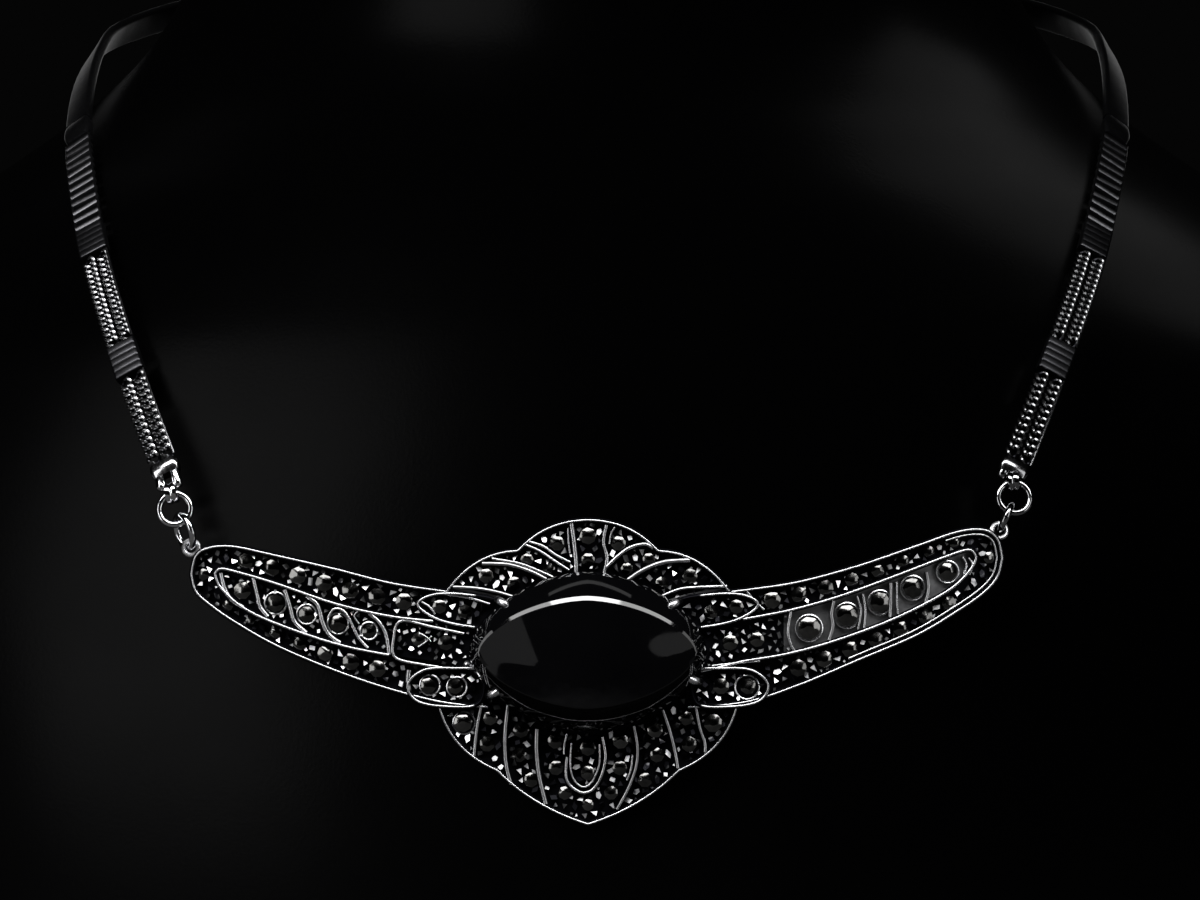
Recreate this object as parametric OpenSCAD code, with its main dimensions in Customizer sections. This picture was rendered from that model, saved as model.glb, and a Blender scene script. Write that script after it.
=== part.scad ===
/* [Front bar] */
// Height of the black stone's centre above the base
stone_height = 75; // [74:0.5:76]
// Thickness of the silver plate behind the stones
plate_t = 0.9; // [0.8:0.05:1.1]
// Width of the raised rims and ribs
rim_w = 0.5; // [0.4:0.05:0.6]
// Height of the rims above the back of the plate
rim_h = 2.0; // [1.9:0.05:2.1]
// How far the wing tips bend back
bend_depth = 3; // [2:0.25:4]
// Where the wings start to bend back, from the middle
bend_start = 12; // [10:1:14]

/* [Stones] */
// Length of the black stone from tip to tip
onyx_length = 23.8; // [22:0.2:24]
// Height of the black stone
onyx_height = 16; // [15:0.2:16.6]
// Depth of the black stone from back to table
onyx_depth = 5.6; // [4.5:0.1:6]
// Width of the marcasites in the wing leaves
leaf_stone_d = 2.3; // [2:0.05:2.5]
// Width of the marcasites in the wing borders
border_stone_d = 1.75; // [1.4:0.05:1.8]
// Spacing of the marcasites in the wing borders
border_pitch = 2.75; // [2.4:0.05:3.2]

/* [Chain] */
// Width of the flat chain
chain_w = 3.2; // [2.8:0.1:3.4]
// Thickness of the flat chain
chain_t = 1.1; // [0.9:0.05:1.2]
// Length of each polished plate in the chain
plate_len = 4.4; // [3.6:0.1:5]
// Gap between neighbouring pieces of the chain
joint_gap = 0.12; // [0.1:0.01:0.2]
// Wire radius of the jump rings
ring_wire = 0.35; // [0.3:0.01:0.38]
// Middle radius of the upper jump rings
ring_r = 1.6; // [1.5:0.05:1.65]
// Length of the clasp
clasp_len = 11; // [9:0.5:13]

/* [Hidden] */

silver = [0.62, 0.62, 0.64];
dark_silver = [0.34, 0.34, 0.36];
stone_black = [0.02, 0.02, 0.025];
bust_black = [0.05, 0.05, 0.055];
small_gap = 0.1;
wing_reach = 41.5;

// How far each soldered sheet or wire rises above the back of the shield, at its back and at
// its front. No two lie in one plane. Columns: back, front.
shield_sheet = [0, plate_t];
wing_sheet = [0.15, plate_t - 0.1];
petal_sheet = [0.32, plate_t + 0.38];
leaf_sheet = [0.42, plate_t + 0.3];
collar_sheet = [0.6, rim_h - 0.1];
shield_rim = [-0.1, rim_h];
wing_rim = [-0.05, rim_h + 0.07];
petal_rim = [0.25, rim_h + 0.38];
leaf_rim = [0.5, rim_h + 0.3];
shield_rib = [0.55, rim_h - 0.06];
loop_wire = [0.65, rim_h - 0.14];
divider_wire = [0.7, rim_h + 0.18];
// Widths of the finer wires
petal_rim_w = 0.45;
loop_wire_w = 0.35;
divider_w = 0.4;
// How far the dividers sway sideways, as a share of their height
divider_sway = 0.05;
// Rounded crown of a wire: width of its flat top and height of its shoulder, as shares of its width
crown_flat = 0.5;
crown_edge = 0.3;

// Wing outlines, one row for each section. Columns: x, top, bottom.
left_wing_rows = [
    [-39.9, 7.6, 7.6], [-39.4, 9.5, 5.9], [-38.0, 10.3, 4.6], [-35.5, 10.4, 2.9],
    [-31.2, 9.5, 0.5], [-25.2, 8.15, -2.0], [-19.8, 6.8, -3.8], [-14.6, 6.0, -5.1],
    [-10.0, 5.4, -5.6]];
right_wing_rows = [
    [41.5, 9.3, 9.3], [41.0, 11.2, 7.4], [39.6, 12.1, 5.8], [37.0, 11.9, 4.0],
    [32.9, 10.5, 1.6], [27.0, 8.5, -0.9], [21.0, 6.9, -3.4], [15.7, 6.1, -5.1],
    [10.0, 5.4, -5.6]];
// Leaf outlines inside the wings. Columns: x, top, bottom.
left_leaf_rows = [
    [-37.5, 7.7, 7.7], [-36.8, 8.2, 6.2], [-34.6, 7.7, 4.3], [-31.2, 6.7, 2.7],
    [-25.2, 4.7, 0.7], [-19.9, 3.5, -0.4], [-15.5, 3.0, -1.0]];
right_leaf_rows = [
    [38.9, 9.3, 9.3], [38.2, 10.1, 8.0], [36.0, 9.5, 6.0], [31.0, 7.6, 3.4],
    [25.2, 5.5, 1.2], [20.2, 4.1, -0.2], [15.5, 3.2, -1.0]];
// Dividers across the leaves. Columns: x at the top, x at the bottom.
left_dividers = [[-33.4, -32.6], [-30.3, -29.0], [-27.5, -25.9], [-24.3, -22.6], [-21.4, -19.6]];
right_dividers = [[33.9, 34.3], [30.7, 31.0], [27.4, 27.6], [24.1, 24.2], [19.6, 20.6]];
// Leaf stones. Columns: x, z, width as a share of the leaf stone.
left_leaf_stones = [
    [-34.7, 6.0, 0.78], [-31.35, 4.75, 0.8], [-28.2, 3.65, 0.7], [-25.05, 2.75, 0.76],
    [-21.93, 2.0, 0.61]];
right_leaf_stones = [
    [36.0, 7.9, 0.8], [32.5, 6.3, 0.9], [29.2, 4.85, 0.9], [25.9, 3.55, 0.95],
    [22.1, 2.3, 1.0]];

// Shield outline, right half, as arcs through three points from the top down.
// Columns: start, middle, end, each as x and z.
shield_arcs = [
    [[0, 13.1], [3.9, 12.3], [7.0, 10.0]],
    [[7.0, 10.0], [11.0, 8.9], [14.3, 5.7]],
    [[14.9, -5.4], [12.9, -9.3], [9.1, -11.9]],
    [[9.1, -11.9], [5.0, -15.1], [0, -17.3]]];
// Shield ribs, right half. Columns: start, middle, end at the rim, width.
shield_ribs = [
    [[1.35, 7.2], [1.7, 10.0], [1.8, 12.7], 0.5],
    [[1.7, 7.7], [3.9, 9.6], [6.5, 10.4], 0.45],
    [[4.3, 6.6], [7.2, 8.5], [10.3, 8.9], 0.55],
    [[7.4, 5.4], [10.4, 6.4], [13.7, 6.3], 0.5],
    [[10.9, -5.2], [11.2, -7.8], [11.7, -10.1], 0.5],
    [[7.8, -5.8], [8.7, -8.8], [9.0, -11.6], 0.5],
    [[4.9, -7.4], [5.0, -10.6], [3.6, -15.6], 0.5]];
// Marcasites of the shield that are set in pairs. Columns: x, z, width.
shield_pairs = [
    [3.05, 10.75, 1.5], [6.1, 9.15, 1.3], [3.9, 8.2, 1.25], [10.2, 7.5, 1.5], [7.4, 6.75, 1.4],
    [12.5, -7.2, 1.9], [9.8, -6.7, 1.5], [10.1, -9.3, 1.6],
    [6.7, -7.9, 1.6], [6.9, -10.4, 1.5], [5.7, -12.9, 1.5],
    [3.25, -9.0, 1.6], [3.2, -11.7, 1.5], [2.3, -14.2, 1.4]];
// Marcasites on the shield's centre line. Columns: x, z, width.
shield_centre = [[0, 11.5, 1.7], [0, 9.1, 1.4], [0, -9.7, 1.6], [0, -12.2, 1.5], [0, -15.4, 1.2]];
// Loop of two wires on the lower shield, right half. Columns: x, z.
loop_rows = [[1.75, -8.3], [2.0, -10.4], [1.9, -12.4], [1.25, -13.7], [0, -14.25]];

// Petals beside the stone, right side, closed outlines. Columns: x, z.
upper_petal = [
    [8.9, 4.9], [12.6, 5.7], [15.6, 5.6], [17.0, 4.6], [15.0, 3.2], [12.0, 2.5], [10.2, 2.6]];
lower_petal = [
    [10.6, -2.1], [13.6, -1.7], [16.4, -1.9], [18.0, -3.3], [17.2, -4.9], [14.6, -5.5], [10.9, -5.2]];
// Marcasites of the petals and the panel between them. Columns: x, z, width.
petal_stones = [
    [14.85, 4.45, 1.45], [12.3, 3.95, 1.45], [16.0, -3.5, 1.65], [13.3, -3.5, 1.65],
    [14.2, 0.85, 1.6], [16.9, 1.15, 1.5]];

// Directions of the four prongs, seen from the stone's centre
prong_turns = [29, 150, 204, 345];
prong_r = 0.42;

// Route of the chain on the right side, from the front ring to the back.
// Columns: x, y, z above the stone's centre, turn of its face to the side, tilt of its face up.
route_rows = [
    [42.5, 4.0, 17.6, 15, 8], [45.3, 7.8, 24.2, 17, 16], [48.2, 14.0, 31.2, 20, 24],
    [50.9, 21.2, 38.2, 27, 32], [53.0, 29.6, 45.0, 37, 40], [55.0, 42.0, 52.8, 52, 46],
    [55.9, 57.0, 59.0, 72, 47], [55.9, 72.0, 63.6, 92, 38], [54.6, 85.0, 66.8, 108, 26],
    [48.0, 99.2, 70.2, 127, 15], [36.5, 109.6, 73.0, 143, 8], [21.0, 115.2, 74.6, 162, 3],
    [0, 117.0, 75.2, 180, 0]];

// Neck bust, one row for each level. Columns: height, half width, front, back.
bust_rows = [
    [0, 79, 5.0, 99], [3, 82, 3.4, 101], [24, 88, 1.6, 105], [50, 93.5, 0.2, 108],
    [75, 96, 1.3, 110], [90, 95, 4.2, 111.5], [104, 90, 9.2, 112.5], [113, 82, 13.2, 113],
    [120.5, 73, 17.2, 113], [127, 63.5, 21.2, 112.5], [133, 55.5, 24.6, 112], [140, 49, 27.4, 112],
    [149, 44.5, 29.2, 112.5], [160, 42.5, 29.6, 112.5], [176, 42, 28.6, 111], [180, 38.5, 31.5, 107.5]];
bust_sides = 40;

// Curve through the rows of a table
function blend_row(a, b, c, d, t) =
    0.5 * (2 * b + (c - a) * t + (2 * a - 5 * b + 4 * c - d) * t * t + (3 * b - a - 3 * c + d) * t * t * t);
function refine(rows, steps) =
    let (n = len(rows))
    concat(
        [for (i = [0:n - 2]) for (k = [0:steps - 1])
            blend_row(rows[max(i - 1, 0)], rows[i], rows[i + 1], rows[min(i + 2, n - 1)], k / steps)],
        [rows[n - 1]]);
function refine_closed(rows, steps) =
    let (n = len(rows))
    [for (i = [0:n - 1]) for (k = [0:steps - 1])
        blend_row(rows[(i + n - 1) % n], rows[i], rows[(i + 1) % n], rows[(i + 2) % n], k / steps)];
function arc(p, q, r, steps) =
    let (pull = 2 * q - (p + r) / 2)
    [for (k = [0:steps]) let (t = k / steps) (1 - t) * (1 - t) * p + 2 * t * (1 - t) * pull + t * t * r];
function unit(v) = v / norm(v);
function flip(points) = [for (p = points) [-p[0], p[1]]];
function reversed(list) = [for (i = [len(list) - 1:-1:0]) list[i]];
function sum_to(list, i) = i <= 0 ? 0 : list[i - 1] + sum_to(list, i - 1);

// Lengths along a route and a row at a given length
function steps_of(rows, dims) =
    [for (i = [1:len(rows) - 1]) norm([for (c = [0:dims - 1]) rows[i][c] - rows[i - 1][c]])];
function lengths_of(rows, dims) =
    let (s = steps_of(rows, dims))
    [for (i = [0:len(rows) - 1]) sum_to(s, i)];
function row_at(rows, lengths, s) =
    [for (c = [0:len(rows[0]) - 1]) lookup(s, [for (i = [0:len(rows) - 1]) [lengths[i], rows[i][c]]])];

// Outline of a wing or leaf: along the top from the inner end, round the tip and back below
function rim_of(rows) =
    let (fine = refine(rows, 3), n = len(fine))
    concat(
        [for (i = [n - 1:-1:0]) [fine[i][0], fine[i][1]]],
        [for (i = [1:n - 1]) [fine[i][0], fine[i][2]]]);

// The flat drawing is bent back towards the tips
function bend(x) =
    abs(x) < bend_start ? 0 : bend_depth * pow((abs(x) - bend_start) / (wing_reach - bend_start), 2);
function bend_slope(x) = (bend(x + small_gap) - bend(x - small_gap)) / (2 * small_gap);
function seat(p, rise) = [p[0], bend(p[0]) - rise, p[1] + stone_height];

function across(path, i, closed) =
    let (
        n = len(path),
        before = closed ? path[(i + n - 1) % n] : path[max(i - 1, 0)],
        after = closed ? path[(i + 1) % n] : path[min(i + 1, n - 1)],
        run = (after - before) / norm(after - before))
    [-run[1], run[0]];

// Side faces between the rings of a sweep, and its end faces
function tube_faces(rings, sides, closed) =
    concat(
        [for (i = [0:rings - (closed ? 1 : 2)]) for (j = [0:sides - 1])
            let (
                a = i * sides + j,
                b = i * sides + (j + 1) % sides,
                c = ((i + 1) % rings) * sides + j,
                d = ((i + 1) % rings) * sides + (j + 1) % sides)
            each [[a, b, d], [a, d, c]]],
        closed ? [] : [
            [for (j = [sides - 1:-1:0]) j],
            [for (j = [0:sides - 1]) (rings - 1) * sides + j]]);

// Raised wire with a rounded crown that follows a flat path. Its rise runs from foot to crown.
module wall(path, width, rise, closed = false) {
    half = width / 2;
    shoulder = rise[1] - crown_edge * width;
    profile = [
        [-half, rise[0]], [-half, shoulder], [-half * crown_flat, rise[1]],
        [half * crown_flat, rise[1]], [half, shoulder], [half, rise[0]]];
    sides = len(profile);
    points = [for (i = [0:len(path) - 1])
        for (q = profile) seat(path[i] + across(path, i, closed) * q[0], q[1])];
    polyhedron(points, tube_faces(len(path), sides, closed));
}

// Sheet between the top and bottom edges of a wing or leaf
module strip(rows, rise) {
    fine = refine(rows, 3);
    last = len(fine) - 1;
    points = [for (r = fine) each [
        seat([r[0], r[1]], rise[0]), seat([r[0], r[1]], rise[1]),
        seat([r[0], r[2]], rise[1]), seat([r[0], r[2]], rise[0])]];
    runs_left = fine[last][0] < fine[0][0];
    faces = tube_faces(last + 1, 4, false);
    polyhedron(points, runs_left ? faces : [for (f = faces) reversed(f)]);
}

// Flat sheet inside an outline
module slab(outline, rise) {
    translate([0, -rise[0], stone_height])
        rotate([90, 0, 0])
            linear_extrude(height = rise[1] - rise[0])
                polygon(outline);
}

// Cut of a marcasite at its table and its girdle. Columns: share of the radius, rise as a share
// of the width. Its point is on the seat.
marcasite_cut = [[0.55, 0.58], [1, 0.26]];

// Cut marcasites. Columns: x, z, width, rise of the seat.
module marcasites(rows) {
    sides = 8;
    count = 2 * sides + 1;
    points = [for (g = rows)
        let (seat_y = bend(g[0]) - g[3], slope = bend_slope(g[0]), r = g[2] / 2)
        each concat(
            [for (level = marcasite_cut) for (j = [0:sides - 1])
                let (
                    turn = (j + 0.5) * 360 / sides,
                    dx = r * level[0] * cos(turn),
                    dz = r * level[0] * sin(turn))
                [g[0] + dx, seat_y + slope * dx - level[1] * g[2], g[1] + dz + stone_height]],
            [[g[0], seat_y, g[1] + stone_height]])];
    faces = [for (k = [0:len(rows) - 1]) let (o = k * count) each concat(
        [[for (j = [sides - 1:-1:0]) o + j]],
        [for (j = [0:sides - 1]) let (m = (j + 1) % sides) each [
            [o + j, o + m, o + sides + m], [o + j, o + sides + m, o + sides + j],
            [o + sides + j, o + sides + m, o + 2 * sides]]])];
    polyhedron(points, faces);
}

function on_floor(stones, floor) = [for (g = stones) [g[0], g[1], g[2], floor + small_gap]];
function both_sides(stones) = concat(stones, [for (g = stones) [-g[0], g[1], g[2]]]);

// Middle line of the border between a wing's rim and its leaf. Columns: x, z, room across.
function rising_x(rows) = rows[0][0] < rows[1][0] ? rows : reversed(rows);
function edge_at(rows, edge, x) = lookup(x, [for (q = rising_x(rows)) [q[0], q[edge]]]);
function border_path(wing, leaf, edge) =
    let (outer = refine(wing, 3), inner = refine(leaf, 3), last = len(outer) - 1)
    [for (i = [0:last])
        let (
            r = outer[i],
            before = outer[max(i - 1, 0)],
            after = outer[min(i + 1, last)],
            z = edge_at(inner, edge, r[0]),
            run = [after[0] - before[0], after[edge] - before[edge]],
            lean = abs(run[0]) / norm(run))
        [r[0], (r[edge] + z) / 2, lean * abs(r[edge] - z)]];

// Stones of the border: a row above the leaf and a row below it, each up to its own x
border_start = 0.2;
border_end_inset = 0.4;
border_room = 0.9;
tip_stone_d = 1.2;
function border_stones(wing, leaf, end_x) =
    [for (edge = [1, 2])
        let (
            leaf_end = abs(leaf[0][0]) - border_end_inset,
            path = reversed([for (p = border_path(wing, leaf, edge)) if (abs(p[0]) < leaf_end) p]),
            lengths = lengths_of(path, 2),
            total = lengths[len(lengths) - 1])
        for (s = [border_start:border_pitch:total])
            let (p = row_at(path, lengths, s), width = border_room * p[2] - rim_w - small_gap)
            if (abs(p[0]) > end_x[edge - 1]) [p[0], p[1], min(border_stone_d, width)]];
function tip_stone(wing, leaf) = [[(wing[0][0] + leaf[0][0]) / 2, wing[0][1], tip_stone_d]];
function panel_stones(side) = [for (g = petal_stones) [side * g[0], g[1], g[2]]];

function mirrored(half) = reversed([for (p = half) if (p[0] > 0.01) [-p[0], p[1]]]);
function shield_half(from, to) =
    let (points = [for (k = [from:to]) each arc(shield_arcs[k][0], shield_arcs[k][1], shield_arcs[k][2], 6)])
    [for (i = [0:len(points) - 1]) if (i == 0 || norm(points[i] - points[i - 1]) > 0.01) points[i]];
function shield_edge(from, to) =
    let (half = shield_half(from, to))
    half[0][0] < 0.01 ? concat(mirrored(half), half) : concat(half, mirrored(half));
// The shield's rims run on a little past the ends of its arcs
rim_overrun = 0.4;
function run_on(path) =
    let (last = len(path) - 1)
    concat(
        [path[0] + unit(path[0] - path[1]) * rim_overrun],
        path,
        [path[last] + unit(path[last] - path[last - 1]) * rim_overrun]);
function shield_outline() =
    let (right = shield_half(0, len(shield_arcs) - 1))
    concat(right, mirrored(right));

module shield_rims() {
    wall(run_on(shield_edge(0, 1)), rim_w, shield_rim);
    wall(run_on(shield_edge(2, 3)), rim_w, shield_rim);
    for (rib = shield_ribs) {
        path = arc(rib[0], rib[1], rib[2], 4);
        wall(path, rib[3], shield_rib);
        wall(flip(path), rib[3], shield_rib);
    }
    half = refine(loop_rows, 2);
    wall(concat(half, mirrored(half)), loop_wire_w, loop_wire);
}

module wing(rows, leaf, dividers) {
    strip(rows, wing_sheet);
    wall(rim_of(rows), rim_w, wing_rim);
    strip(leaf, leaf_sheet);
    wall(rim_of(leaf), rim_w, leaf_rim);
    fine = refine(leaf, 3);
    for (d = dividers) {
        top = [d[0], edge_at(fine, 1, d[0])];
        low = [d[1], edge_at(fine, 2, d[1])];
        sway = [divider_sway * (low[1] - top[1]), 0];
        wall([top, (2 * top + low) / 3 + sway, (top + 2 * low) / 3 - sway, low], divider_w, divider_wire);
    }
}

module petals() {
    for (petal = [upper_petal, lower_petal]) {
        outline = refine_closed(petal, 2);
        for (shape = [outline, flip(outline)]) {
            slab(shape, petal_sheet);
            wall(shape, petal_rim_w, petal_rim, closed = true);
        }
    }
}

// Pointed oval of the black stone, grown or shrunk. The power sets how full its sides are.
stone_power = 1.7;
function stone_point(turn, grow) =
    let (
        c = cos(turn),
        s = sin(turn),
        long_share = pow(abs(c) / (onyx_length / 2), stone_power),
        high_share = pow(abs(s) / (onyx_height / 2), stone_power),
        r = pow(long_share + high_share, -1 / stone_power))
    [grow * r * c, grow * r * s];
function stone_outline(grow, sides) = [for (j = [0:sides - 1]) stone_point(j * 360 / sides, grow)];

// Raised seat below the stone's edge. Shares of the stone's outline.
collar_outer = 0.93;
collar_inner = 0.82;
collar_sides = 24;
module stone_collar() {
    difference() {
        slab(stone_outline(collar_outer, collar_sides), collar_sheet);
        slab(stone_outline(collar_inner, collar_sides), [plate_t, rim_h]);
    }
}

// A prong stands beside the stone's edge and leans over it. Columns: distance past the edge, rise.
prong_steps = [[0.55, 0.6], [0.55, 3.4], [-0.35, 4.2]];
module prong(turn) {
    edge = stone_point(turn, 1);
    out = edge / norm(edge);
    centres = [for (step = prong_steps)
        [edge[0] + out[0] * step[0], -step[1], edge[1] + out[1] * step[0] + stone_height]];
    for (k = [0:1])
        hull()
            for (c = [centres[k], centres[k + 1]])
                translate(c)
                    sphere(r = prong_r, $fn = 8);
}

// Eyelets soldered to the wing tips, and the way the jump rings lead up from them, on the left
// and on the right. Each as x, y and z.
eyelet_points = [[-40.0, 2.1, 10.25], [41.25, 2.3, 12.0]];
ring_ways = [[-0.4, 0.2, 0.92], [0.4, 0.3, 0.85]];
// Middle radius of the lower jump rings, left and right
link_radii = [1.75, 1.5];
// Turn of the lower jump rings about their own length, left and right
link_turns = [28, 0];
link_gap = 0.1;
eyelet_r = 0.75;
eyelet_wire = 0.25;
// The bail is a strap bent round the upper ring. Its radius is that of the middle of the strap.
bail_r = 0.9;
bail_t = 0.45;
bail_w = 1.2;
bail_gap = 0.25;
function pick(pair, side) = side < 0 ? pair[0] : pair[1];
// The upper ring and the eyelet face forwards, and the lower ring stands across them
function ring_way(side) = unit(pick(ring_ways, side));
function ring_face(side) = unit([0, -1, 0] + ring_way(side) * ring_way(side)[1]);
function link_face(side) =
    let (face = ring_face(side), turn = pick(link_turns, side))
    cross(face, ring_way(side)) * cos(turn) + face * sin(turn);
// Distance between the middles of two rings that hang in each other
function linked(r_a, wire_a, r_b, wire_b, gap) = r_a + r_b - wire_a - wire_b - gap;
function link_centre(side) =
    pick(eyelet_points, side)
    + ring_way(side) * linked(eyelet_r, eyelet_wire, pick(link_radii, side), ring_wire, link_gap);
function ring_centre(side) =
    link_centre(side)
    + ring_way(side) * linked(pick(link_radii, side), ring_wire, ring_r, ring_wire, link_gap);
function chain_start(side) = [side * route_rows[0][0], route_rows[0][1], route_rows[0][2]];
function bail_rise(side) =
    let (v = chain_start(side) - ring_centre(side), n = ring_face(side))
    unit(v - n * (v * n));
function bail_centre(side) =
    ring_centre(side) + bail_rise(side) * linked(ring_r, ring_wire, bail_r, bail_t / 2, bail_gap);

module torus(radius, wire, sides) {
    rotate_extrude($fn = sides)
        translate([radius, 0])
            circle(r = wire, $fn = 16);
}
module strap(radius, width, thick, sides) {
    rotate_extrude($fn = sides)
        translate([radius - thick / 2, -width / 2])
            square([thick, width]);
}

// Puts a ring at its centre, with its face looking in this direction
module facing(centre, face) {
    turn = atan2(face[1], face[0]);
    lean = acos(face[2]);
    translate([centre[0], centre[1], centre[2] + stone_height])
        rotate([0, lean, turn])
            children();
}
module ring_at(centre, face, radius, wire, sides = 40) {
    facing(centre, face)
        torus(radius, wire, sides);
}

module eyelet(side) {
    c = pick(eyelet_points, side);
    ring_at(c, ring_face(side), eyelet_r, eyelet_wire, 16);
}

module front_frame() {
    color(silver)
        union() {
            slab(shield_outline(), shield_sheet);
            shield_rims();
            wing(left_wing_rows, left_leaf_rows, left_dividers);
            wing(right_wing_rows, right_leaf_rows, right_dividers);
            petals();
            stone_collar();
            for (turn = prong_turns)
                prong(turn);
            for (side = [-1, 1])
                eyelet(side);
        }
}

// Facet levels of the black stone, from its back over the girdle and the steep bevel to the table.
// Columns: share of its length, share of its height, rise as a share of the depth.
stone_levels = [
    [0.6, 0.6, 0], [0.97, 0.97, 0.14], [1, 1, 0.2], [0.94, 0.9, 0.3], [0.88, 0.76, 0.8], [0.5, 0.42, 1]];
stone_sides = 16;

module black_stone() {
    points = [for (level = stone_levels) for (p = stone_outline(1, stone_sides))
        [p[0] * level[0], -rim_h - level[2] * onyx_depth, p[1] * level[1] + stone_height]];
    faces = [for (f = tube_faces(len(stone_levels), stone_sides, false)) reversed(f)];
    color(stone_black)
        polyhedron(points, faces);
}

// How much higher the stones of the flat petals sit, where their drawing bends back
panel_rise = 0.06;
// Where the border rows end towards the middle, above and below the leaf
border_ends = [18.2, 19.2];

module wing_marcasites(side) {
    wing_rows = side < 0 ? left_wing_rows : right_wing_rows;
    leaf_rows = side < 0 ? left_leaf_rows : right_leaf_rows;
    border = border_stones(wing_rows, leaf_rows, border_ends);
    color(dark_silver)
        marcasites(concat(
            on_floor(concat(border, tip_stone(wing_rows, leaf_rows)), plate_t),
            on_floor(panel_stones(side), petal_sheet[1] + panel_rise)));
}

module leaf_stone(side, k) {
    g = (side < 0 ? left_leaf_stones : right_leaf_stones)[k - 1];
    color(dark_silver)
        marcasites(on_floor([[g[0], g[1], g[2] * leaf_stone_d]], leaf_sheet[1]));
}

module shield_marcasites() {
    color(dark_silver)
        marcasites(on_floor(concat(both_sides(shield_pairs), shield_centre), plate_t));
}

module upper_ring(side) {
    color(silver)
        ring_at(ring_centre(side), ring_face(side), ring_r, ring_wire);
}

module lower_ring(side) {
    color(silver)
        ring_at(link_centre(side), link_face(side), pick(link_radii, side), ring_wire);
}

// Chain route for one side, fine rows with their lengths
route = refine(route_rows, 4);
route_lengths = lengths_of(route, 3);
route_total = route_lengths[len(route_lengths) - 1];

// Half the stretch over which the route's direction is measured, and the spacing of its sections
run_reach = 0.3;
section_step = 2.6;

function face_out(turn, tilt) = [sin(turn) * cos(tilt), -cos(turn) * cos(tilt), sin(tilt)];
function station(s, width, thick, side) =
    let (
        here = row_at(route, route_lengths, s),
        ahead = row_at(route, route_lengths, min(s + run_reach, route_total)),
        behind = row_at(route, route_lengths, max(s - run_reach, 0)),
        gap_vec = [for (c = [0:2]) ahead[c] - behind[c]],
        run = gap_vec / norm(gap_vec),
        rough = face_out(here[3], here[4]),
        flat_out = rough - run * (rough * run),
        out = flat_out / norm(flat_out),
        wide = cross(run, out),
        centre = [here[0], here[1], here[2] + stone_height])
    [for (q = [[-1, -1], [1, -1], [1, 1], [-1, 1]])
        let (p = centre + wide * (q[0] * width / 2) + out * (q[1] * thick / 2))
        [side * p[0], p[1], p[2]]];

module band(from, to, width, thick, side) {
    count = max(2, ceil((to - from) / section_step));
    points = [for (i = [0:count]) each station(from + (to - from) * i / count, width, thick, side)];
    faces = tube_faces(count + 1, 4, false);
    polyhedron(points, side < 0 ? [for (f = faces) reversed(f)] : faces);
}

// Lengths at which the chain's pieces start and end
end_len = 1.5;
weave_1_end = 13;
plate_1_end = weave_1_end + plate_len;
weave_2_end = plate_1_end + 14.3;
plate_2_end = weave_2_end + plate_len;
weave_3_end = plate_2_end + 18.5;
knuckle_len = 4.6;
knuckle_end = weave_3_end + knuckle_len;
// How much thicker than the weave each plain piece is
end_extra = 0.3;
plate_extra = 0.15;
knuckle_extra = 0.35;
// How much wider the knuckle is than the weave, and how much narrower the smooth band
knuckle_wider = 0.1;
band_narrower = 0.2;

// Two round lobes close the ends of the two rows of links: their radius, how far they stand from
// the middle, and their radius where they meet the chain
lobe_r = 0.55;
lobe_offset = 0.85;
lobe_neck = 0.4;
module chain_end(side) {
    bail = bail_centre(side);
    across = cross(ring_face(side), bail_rise(side));
    foot = bail + bail_rise(side) * bail_r + [0, 0, stone_height];
    neck = station(end_len / 2, 2 * lobe_offset, 0, side);
    color(silver)
        union() {
            band(0, end_len, chain_w, chain_t + end_extra, side);
            facing(bail, across)
                strap(bail_r, bail_w, bail_t, 24);
            for (way = [-1, 1])
                hull() {
                    ball(foot + across * (way * lobe_offset), lobe_r);
                    ball(neck[way * side > 0 ? 0 : 1], lobe_neck);
                }
        }
}
module ball(centre, radius) {
    translate(centre)
        sphere(r = radius, $fn = 12);
}

module weave(from, to, side) {
    color(silver)
        band(from + joint_gap, to - joint_gap, chain_w, chain_t, side);
}

module chain_plate(from, side) {
    color(silver)
        band(from, from + plate_len, chain_w, chain_t + plate_extra, side);
}

module knuckle(side) {
    color(silver)
        band(weave_3_end, knuckle_end, chain_w + knuckle_wider, chain_t + knuckle_extra, side);
}

module smooth_band(side) {
    band_end = route_total - clasp_len / 2 - joint_gap;
    color(silver)
        band(knuckle_end + joint_gap, band_end, chain_w - band_narrower, chain_t, side);
}

clasp_w = 4.4;
clasp_t = 2.2;
clasp_back = 0.2;
module clasp() {
    last = route_rows[len(route_rows) - 1];
    color(silver)
        translate([-clasp_len / 2, last[1] + clasp_back - clasp_t / 2, last[2] - clasp_w / 2 + stone_height])
            cube([clasp_len, clasp_t, clasp_w]);
}

module neck_bust() {
    points = [for (r = bust_rows) for (j = [0:bust_sides - 1])
        let (
            turn = j * 360 / bust_sides,
            middle = (r[2] + r[3]) / 2,
            depth = (r[3] - r[2]) / 2)
        [r[1] * cos(turn), middle + depth * sin(turn), r[0]]];
    color(bust_black)
        polyhedron(points, [for (f = tube_faces(len(bust_rows), bust_sides, false)) reversed(f)]);
}

// The origin is the middle of the bust's flat base
base_middle = (bust_rows[0][2] + bust_rows[0][3]) / 2;
module placed() {
    translate([0, -base_middle, 0])
        children();
}

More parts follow.
